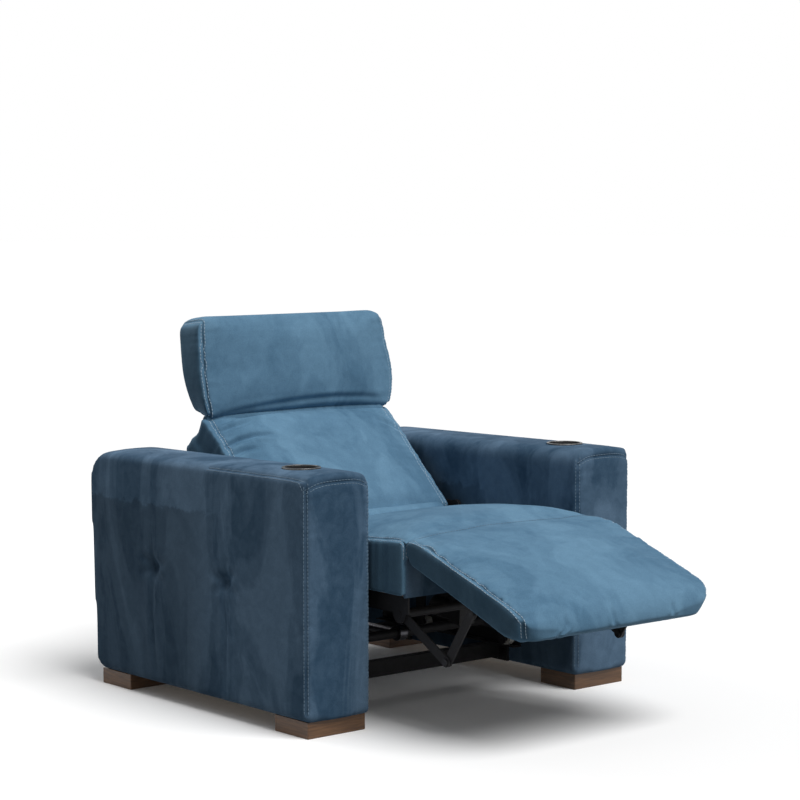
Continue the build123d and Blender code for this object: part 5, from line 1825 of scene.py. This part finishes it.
@dataclass
class ArmCover:
    """The velvet cover of one arm: sewn front panel, tufted outer side and a hole for the cup holder."""

    side: Side
    voxel: float = 0.011
    top_drop: float = 0.022
    top_fall: float = 0.009
    fall_from: float = -0.05     # Y where the top starts to fall
    fall_depth: float = 0.16
    top_inset: float = 0.014
    top_seam_start: float = 0.006
    top_seam_end: float = 0.190
    crown_at: float = 0.03
    foot_margin: float = 0.02
    edge_margin: float = 0.010
    corner_step: float = 0.006
    seam_depth: float = 0.0035
    seam_width: float = 0.0045
    seam_reach: float = 0.03
    pucker: float = 0.0009
    pucker_wave: float = 0.022
    pucker_reach: float = 0.025
    stitch_gap: float = 0.0052
    thread: float = 0.0009
    outer_from: float = 0.25     # how far a normal points outward where the outer side starts
    outer_span: float = 0.625
    tuft_rows: tuple[tuple[float, float], ...] = ((0.1034, 0.340), (0.4094, 0.340))
    tuft_depth: float = 0.013
    tuft_radius: float = 0.024
    tuft_curve: float = 1.4
    slack: float = 0.0016
    slack_wave: float = 0.11
    slack_slant: float = 0.15
    slack_below: float = 0.36
    slack_fade: float = 0.2
    sill_inset: tuple[float, float, float] = (0.03, 0.05, 0.004)
    sill_height: float = 0.05
    pocket_rim: float = 0.006
    pocket_skin: float = 0.001
    cup_at: tuple[float, float] = (0.441, -0.0716)
    cup_r: float = 0.0472
    cup_floor: float = 0.548
    cup_above: float = 0.05
    cup_segments: int = 96
    plug_r: float = 0.0515
    plug_depth: float = 0.2
    plug_drop: float = 0.103
    plug_segments: int = 48
    fill: float = 0.9
    seed: int = 21

    def build(self) -> None:
        """Wrap the arm, press in its tufts and seams, cut the cup hole and sew it."""
        word = self.side.word
        cover = f"{word}_arm_cover"
        low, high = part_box(cover)
        piece = self.wrapped(cover, low, high)
        fitted(piece, [cover])
        refined(piece)
        self.droop(piece, high)
        seams = self.seams(Probe(piece), low, high)
        skin = Skin(piece)
        skin.push(self.relief(skin, seams))
        self.cut_cup(piece)
        clad(piece.data, ARM_VELVET)
        piece.data.shade_smooth()
        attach(piece, "base")
        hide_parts(cover)
        report(piece)
        stitching = Stitching("base", f"{word}_arm_stitches", thread=self.thread, finish_used=ARM_THREAD)
        probe = Probe(piece)
        for points, normals in self.seams(probe, low, high):
            for offset in (-self.stitch_gap, self.stitch_gap):
                stitching.row(probe, points, normals, offset)
        stitching.finish()

    def droop(self, piece: Object, high: Vector) -> None:
        """Let the top fall a little towards the back.

        Args:
            piece: The wrapped arm.
            high: Highest corner of the arm.
        """
        skin = Skin(piece)
        back = rising(skin.points[:, 1], self.fall_from, high.y - self.fall_from)
        top = rising(skin.points[:, 2], high.z - self.fall_depth, self.fall_depth)
        skin.points[:, 2] -= self.top_fall * back * top
        skin.write()

    def wrapped(self, cover: str, low: Vector, high: Vector) -> Object:
        """Wrap the cover and its frame, with the cup hole and the underside closed.

        Args:
            cover: The cover's node.
            low: Its lowest corner.
            high: Its highest corner.

        Returns:
            The wrapped piece.
        """
        inset = Vector(self.sill_inset)
        sill_high = Vector((high.x - inset.x, high.y - 2 * inset.y, low.z + self.sill_height))
        blocks = [(low + inset, sill_high)]
        if self.side is Side.RIGHT:
            pocket_low, pocket_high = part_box("switch_panel")
            rim = Vector((0.0, self.pocket_rim, self.pocket_rim))
            pocket_end = Vector((high.x - self.pocket_skin, *(pocket_high - rim).yz))
            blocks.append((pocket_low + rim, pocket_end))
        centre = self.cup_place(high.z - self.plug_drop)
        plug = cylinder("cup_plug", centre, self.plug_r, self.plug_depth, self.plug_segments)
        nodes = [cover, cover.replace("cover", "frame")]
        return voxel_solid(f"{self.side.word}_arm", nodes, self.voxel, tuple(blocks), (plug,))

    def cup_place(self, z: float) -> Vector:
        """A place on the cup holder's axis."""
        return Vector((self.side.value * self.cup_at[0], self.cup_at[1], z))

    def seams(self, probe: Probe, low: Vector, high: Vector) -> list[tuple[list[Vector], list[Vector]]]:
        """The lines that are sewn: the front panel's sides and top, and the outer top edge.

        Args:
            probe: The arm's probe.
            low: Lowest corner of the arm.
            high: Highest corner of the arm.

        Returns:
            Points and normals of each line.
        """
        sign = self.side.value
        outer, inner = (high.x, low.x) if sign > 0 else (low.x, high.x)
        top = high.z - self.top_drop
        heights = np.arange(low.z + self.foot_margin, top, self.corner_step)
        lines = []
        for edge, way in ((outer, -sign), (inner, sign)):
            ways = [Vector((way, 1.0, 0.0)).normalized()] * len(heights)
            starts = [Vector((edge, low.y, z)) - ways[0] * FAR for z in heights]
            lines.append(probe.line(starts, ways))
        across = np.arange(low.x + self.edge_margin, high.x - self.edge_margin, self.corner_step)
        above = [Vector((x, low.y + self.crown_at, high.z + FAR)) for x in across]
        crown = probe.line(above, [DOWN] * len(above))[0]
        starts = [Vector((point.x, low.y - FAR, point.z - self.top_drop)) for point in crown]
        lines.append(probe.line(starts, [Vector((0, 1, 0))] * len(starts)))
        x = outer - sign * self.top_inset
        back = np.arange(low.y + self.top_seam_start, self.top_seam_end, self.corner_step)
        above = [Vector((x, y, high.z + FAR)) for y in back]
        lines.append(probe.line(above, [DOWN] * len(above)))
        return lines

    def relief(self, skin: Skin, seams: list) -> np.ndarray:
        """How far each point of the arm moves out.

        Args:
            skin: The arm's skin.
            seams: Its sewn lines.

        Returns:
            Metres for each point.
        """
        height = np.zeros(len(skin.points))
        for points, _ in seams:
            gap = cloud_distance(skin.points, points, self.seam_reach)
            height -= self.seam_depth * np.exp(-((gap / self.seam_width) ** 2))
            pucker = ripple(skin.points[:, 2] + skin.points[:, 1], self.pucker_wave, self.seed)
            height += self.pucker * pucker * np.exp(-gap / self.pucker_reach)
        outer = rising(skin.normals[:, 0] * self.side.value, self.outer_from, self.outer_span)
        flat = skin.points[:, 1:]
        for index, tuft in enumerate(self.tuft_rows):
            height += outer * self.tuft(flat, tuft, index)
        slack = ripple(flat[:, 0] + self.slack_slant * flat[:, 1], self.slack_wave, self.seed + 5)
        low = rising(flat[:, 1], self.slack_below, -self.slack_fade)
        return height + outer * self.slack * slack * low

    def tuft(self, flat: np.ndarray, at: tuple[float, float], index: int) -> np.ndarray:
        """One tuft: a dent, the creases that fan out from it and the long fold below it.

        Args:
            flat: Y and Z of each point.
            at: Y and Z of the tuft.
            index: Which tuft.

        Returns:
            Metres for each point.
        """
        offset = flat - np.array(at)
        gap = np.linalg.norm(offset, axis=1)
        height = -self.tuft_depth * np.exp(-((gap / self.tuft_radius) ** self.tuft_curve))
        for fold in TUFT_FOLDS:
            height += (fold if index % 2 else fold.mirrored()).height(offset)
        return height

    def cut_cup(self, piece: Object) -> None:
        """Cut the hole that the cup holder's rim sits in.

        Args:
            piece: The arm.
        """
        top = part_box(f"{self.side.word}_arm_cover")[1].z + self.cup_above
        centre = self.cup_place((top + self.cup_floor) / 2)
        mesh = cylinder("cup_cutter", centre, self.cup_r, top - self.cup_floor, self.cup_segments)
        cutter = new_piece("cup_cutter", mesh)
        cut = piece.modifiers.new("cup", "BOOLEAN")
        cut.object = cutter
        cut.operation = "DIFFERENCE"
        cut.solver = "FAST"
        baked(piece)
        bpy.data.objects.remove(cutter)
        bpy.data.meshes.remove(mesh)


@dataclass
class Panel:
    """A thin upholstered panel that closes the rear of the chair."""

    name: str
    node: str
    body: str
    finish: Finish
    voxel: float = 0.009
    slack: float = 0.0012
    slack_wave: float = 0.09
    slack_slant: float = 0.2
    fill: float = 0.95
    seed: int = 31

    def build(self) -> None:
        """Wrap the panel in velvet."""
        piece = voxel_solid(self.name, [self.node], self.voxel)
        fitted(piece, [self.node])
        refined(piece)
        skin = Skin(piece)
        place = skin.points[:, 0] + self.slack_slant * skin.points[:, 2]
        skin.push(self.slack * ripple(place, self.slack_wave, self.seed))
        clad(piece.data, self.finish)
        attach(piece, self.body)
        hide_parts(self.node)
        report(piece)


@dataclass
class Roll:
    """Gathered velvet that closes the gap between two pads, round the hinge line between them."""

    name: str
    joint: str
    body: str
    half: float = 0.303
    radius: float = 0.0215
    lean: float = 0.010
    drop: float = 0.0
    end_round: float = 0.030
    end_draw: float = 0.9        # how far the ends close, as a share of the section
    end_least: float = 0.02
    fold: float = 0.05           # height of the long folds, as a share of the radius
    fold_wave: float = 0.05
    fold_turn: float = 0.05      # metres of wave for a radian round the roll
    fold_swing: float = 0.12
    fold_bend: float = 3.0
    fold_start: float = 2.0
    pleat: float = 0.02          # height of the pleats round the roll
    pleat_wave: float = 0.026
    pleat_swing: float = 0.01
    columns: int = 260
    rows: int = 56
    fill: float = 0.6
    seed: int = 41

    def build(self) -> None:
        """Make the roll."""
        y, z = hinge_place(self.joint)
        work = bmesh.new()
        places = np.linspace(-self.half, self.half, self.columns)
        closed_tube(work, [self.ring(work, float(x), y, z - self.drop) for x in places])
        bmesh.ops.recalc_face_normals(work, faces=work.faces)
        piece = built_piece(self.name, work, SEAT_VELVET)
        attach(piece, self.body)
        report(piece)

    def ring(self, work: BMesh, x: float, y: float, z: float) -> list[BMVert]:
        """One ring of the roll.

        Args:
            work: The mesh being built.
            x: The ring's place across the chair.
            y: The Y of the ring's middle.
            z: Its Z.

        Returns:
            The ring's vertices.
        """
        inside = max(0.0, abs(x) - (self.half - self.end_round)) / self.end_round
        closing = math.sqrt(max(self.end_least, 1.0 - self.end_draw * inside**2))
        size = (self.radius + self.lean * x) * closing
        drift = self.fold_swing * math.sin(self.fold_bend * x) + self.fold_start
        turns = [math.tau * step / self.rows for step in range(self.rows)]
        rounds = np.array([turn * self.fold_turn + drift for turn in turns])
        folds = ripple(rounds, self.fold_wave, self.seed)
        swings = np.array([x + self.pleat_swing * math.sin(2 * turn) for turn in turns])
        pleats = ripple(swings, self.pleat_wave, self.seed + 1)
        verts = []
        for angle, fold, pleat in zip(turns, folds, pleats):
            reach = size * (1.0 + self.fold * fold + self.pleat * pleat)
            verts.append(work.verts.new((x, y - reach * math.cos(angle), z + reach * math.sin(angle))))
        return verts


@dataclass
class FrontWrap:
    """The velvet that wraps the seat's front rail under the cushion."""

    name: str = "seat_front_wrap"
    node: str = "seat_frame"
    low: float = 0.326
    high: float = 0.432
    face: float = 0.0065
    depth: float = 0.012
    overlap: float = 0.003       # how far the wrap stands over the rail's ends
    slack: float = 0.0012
    slack_wave: float = 0.04
    up_power: float = 0.6        # below 1, the section's corners are fuller than an ellipse's
    out_power: float = 0.5
    columns: int = 220
    rows: int = 40
    fill: float = 0.9
    seed: int = 51

    def build(self) -> None:
        """Make the wrap."""
        box_low, box_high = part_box(self.node)
        front = box_low.y - self.face
        half = box_high.x + self.overlap
        work = bmesh.new()
        places = np.linspace(-half, half, self.columns)
        closed_tube(work, [self.ring(work, float(x), front) for x in places])
        bmesh.ops.recalc_face_normals(work, faces=work.faces)
        piece = built_piece(self.name, work, ARM_VELVET)
        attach(piece, "seat_carriage")
        report(piece)

    def ring(self, work: BMesh, x: float, front: float) -> list[BMVert]:
        """One section of the wrap: a flat round-ended loop.

        Args:
            work: The mesh being built.
            x: The section's place across the chair.
            front: Y of the wrap's face.

        Returns:
            The section's vertices.
        """
        middle = (self.low + self.high) / 2
        reach = (self.high - self.low) / 2
        slack = self.slack * float(ripple(np.array([x]), self.slack_wave, self.seed)[0])
        verts = []
        for step in range(self.rows):
            angle = math.tau * step / self.rows
            up = math.copysign(abs(math.sin(angle)) ** self.up_power, math.sin(angle))
            out = math.copysign(abs(math.cos(angle)) ** self.out_power, math.cos(angle))
            y = front + self.depth / 2 - out * (self.depth / 2 + slack)
            verts.append(work.verts.new((x, y, middle + up * reach)))
        return verts


# Studio
@dataclass
class Studio:
    """Camera, lights and floor."""

    camera_at: tuple[float, float, float] = (-3.8915, -4.5081, 1.2653)
    pitch: float = 4.818
    heading: float = -40.294
    lens: float = 105.7
    sensor: float = 36.0
    sight: float = 200.0
    floor_half: float = 60.0
    floor_roughness: float = 0.95
    floor_seen: float = 0.98
    floor_glow: float = 0.025
    floor_bounce: float = 0.22
    sky: float = 0.23
    key: float = 2.95
    key_from: tuple[float, float, float] = (0.06, -0.55, 0.83)
    key_spread: float = 40.0
    rear_from: tuple[float, float, float] = (-1.2, 3.9, 2.6)
    rear_aim: tuple[float, float, float] = (0.0, 0.0, 0.45)
    rear_size: float = 2.5
    rear_power: float = 40.0

    def build(self) -> None:
        """Set up the whole studio."""
        bpy.context.scene.view_settings.view_transform = "Standard"
        self.camera()
        self.floor()
        self.world()
        self.sun()
        self.rear_lamp()

    def camera(self) -> None:
        """Place the camera at the photograph's viewpoint."""
        data = bpy.data.cameras.new("camera")
        data.lens = self.lens
        data.sensor_width = self.sensor
        data.clip_end = self.sight
        made = bpy.data.objects.new("camera", data)
        made.location = self.camera_at
        made.rotation_euler = (math.radians(90.0 - self.pitch), 0.0, math.radians(self.heading))
        bpy.context.scene.collection.objects.link(made)
        bpy.context.scene.camera = made

    def seen(self, tree: NodeTree, unseen: float, seen: float) -> NodeSocket:
        """A value that differs for what the camera sees, directly or in a gloss.

        Args:
            tree: The nodes.
            unseen: The value for the light that falls on the chair.
            seen: The value for what the camera sees.

        Returns:
            The value's socket.
        """
        path = tree.nodes.new("ShaderNodeLightPath")
        total = path.outputs["Is Camera Ray"]
        for name in ("Is Glossy Ray", "Is Transmission Ray"):
            total = math_node(tree, "MAXIMUM", total, path.outputs[name])
        spread = tree.nodes.new("ShaderNodeMapRange")
        spread.inputs["To Min"].default_value = unseen
        spread.inputs["To Max"].default_value = seen
        tree.links.new(total, spread.inputs["Value"])
        return spread.outputs["Result"]

    def floor(self) -> None:
        """Lay a pale floor that keeps the chair's shadow."""
        work = bmesh.new()
        bmesh.ops.create_grid(work, x_segments=1, y_segments=1, size=self.floor_half)
        mesh = mesh_from("floor", work)
        made = bpy.data.materials.new("studio_floor")
        made.use_nodes = True
        tree = made.node_tree
        shader = tree.nodes["Principled BSDF"]
        shader.inputs["Roughness"].default_value = self.floor_roughness
        shader.inputs["Specular IOR Level"].default_value = 0.0
        shader.inputs["Emission Color"].default_value = (1.0, 1.0, 1.0, 1.0)
        shader.inputs["Emission Strength"].default_value = self.floor_glow
        tree.links.new(self.seen(tree, self.floor_bounce, self.floor_seen), shader.inputs["Base Color"])
        mesh.materials.append(made)
        new_piece("floor", mesh)

    def world(self) -> None:
        """White to the camera, soft light to the chair."""
        made = bpy.data.worlds.new("studio")
        made.use_nodes = True
        tree = made.node_tree
        back = tree.nodes["Background"]
        back.inputs["Color"].default_value = (1.0, 1.0, 1.0, 1.0)
        tree.links.new(self.seen(tree, self.sky, 1.0), back.inputs["Strength"])
        bpy.context.scene.world = made

    def sun(self) -> None:
        """Even key light from the front and above."""
        data = bpy.data.lights.new("key", "SUN")
        data.energy = self.key
        data.angle = math.radians(self.key_spread)
        made = bpy.data.objects.new("key", data)
        made.rotation_euler = Vector(self.key_from).to_track_quat("Z", "Y").to_euler()
        bpy.context.scene.collection.objects.link(made)

    def rear_lamp(self) -> None:
        """A weak soft lamp for the chair's back."""
        data = bpy.data.lights.new("rear", "AREA")
        data.size = self.rear_size
        data.energy = self.rear_power
        made = bpy.data.objects.new("rear", data)
        made.location = self.rear_from
        aim = Vector(self.rear_aim) - Vector(self.rear_from)
        made.rotation_euler = aim.to_track_quat("-Z", "Y").to_euler()
        bpy.context.scene.collection.objects.link(made)


def dress_cad() -> None:
    """Give every CAD node the finish of its slot."""
    for entry in frame["record"]["subparts"]:
        slot = Slot(entry["material_slot"])
        finish = CAD_FINISHES.get(slot, ARM_VELVET)
        clad(frame["nodes"][entry["node"]].data, finish)


def main() -> None:
    """Build the chair's looks in order."""
    logging.basicConfig(level=logging.INFO, format="%(message)s")
    Studio().build()
    dress_cad()
    y, z = hinge_place("back_recline")
    seat_pad = SeatPad(Slope(y, z, SEAT_LEAN)).build()
    footrest_pad = FootrestPad(slope_from("footrest_fold", FOOTREST_LEAN, *FOOTREST_HINGE)).build()
    BackPad(slope_from("back_recline", BACK_LEAN, 0.0, 0.0)).build()
    HeadrestPad(slope_from("headrest_tilt", HEAD_LEAN, *HEAD_SHAFT)).build()
    ChaiseStrip().build(seat_pad, footrest_pad)
    for side in Side:
        ArmCover(side).build()
    Panel("rear_cover", "rear_panel", "base", ARM_VELVET).build()
    Roll("neck_roll", "headrest_tilt", "back").build()
    Roll(
        "crevice_roll", "back_recline", "seat_carriage",
        half=0.286, radius=0.026, lean=0.0, drop=0.011, seed=71,
    ).build()
    FrontWrap().build()


if __name__ == "__main__":
    main()
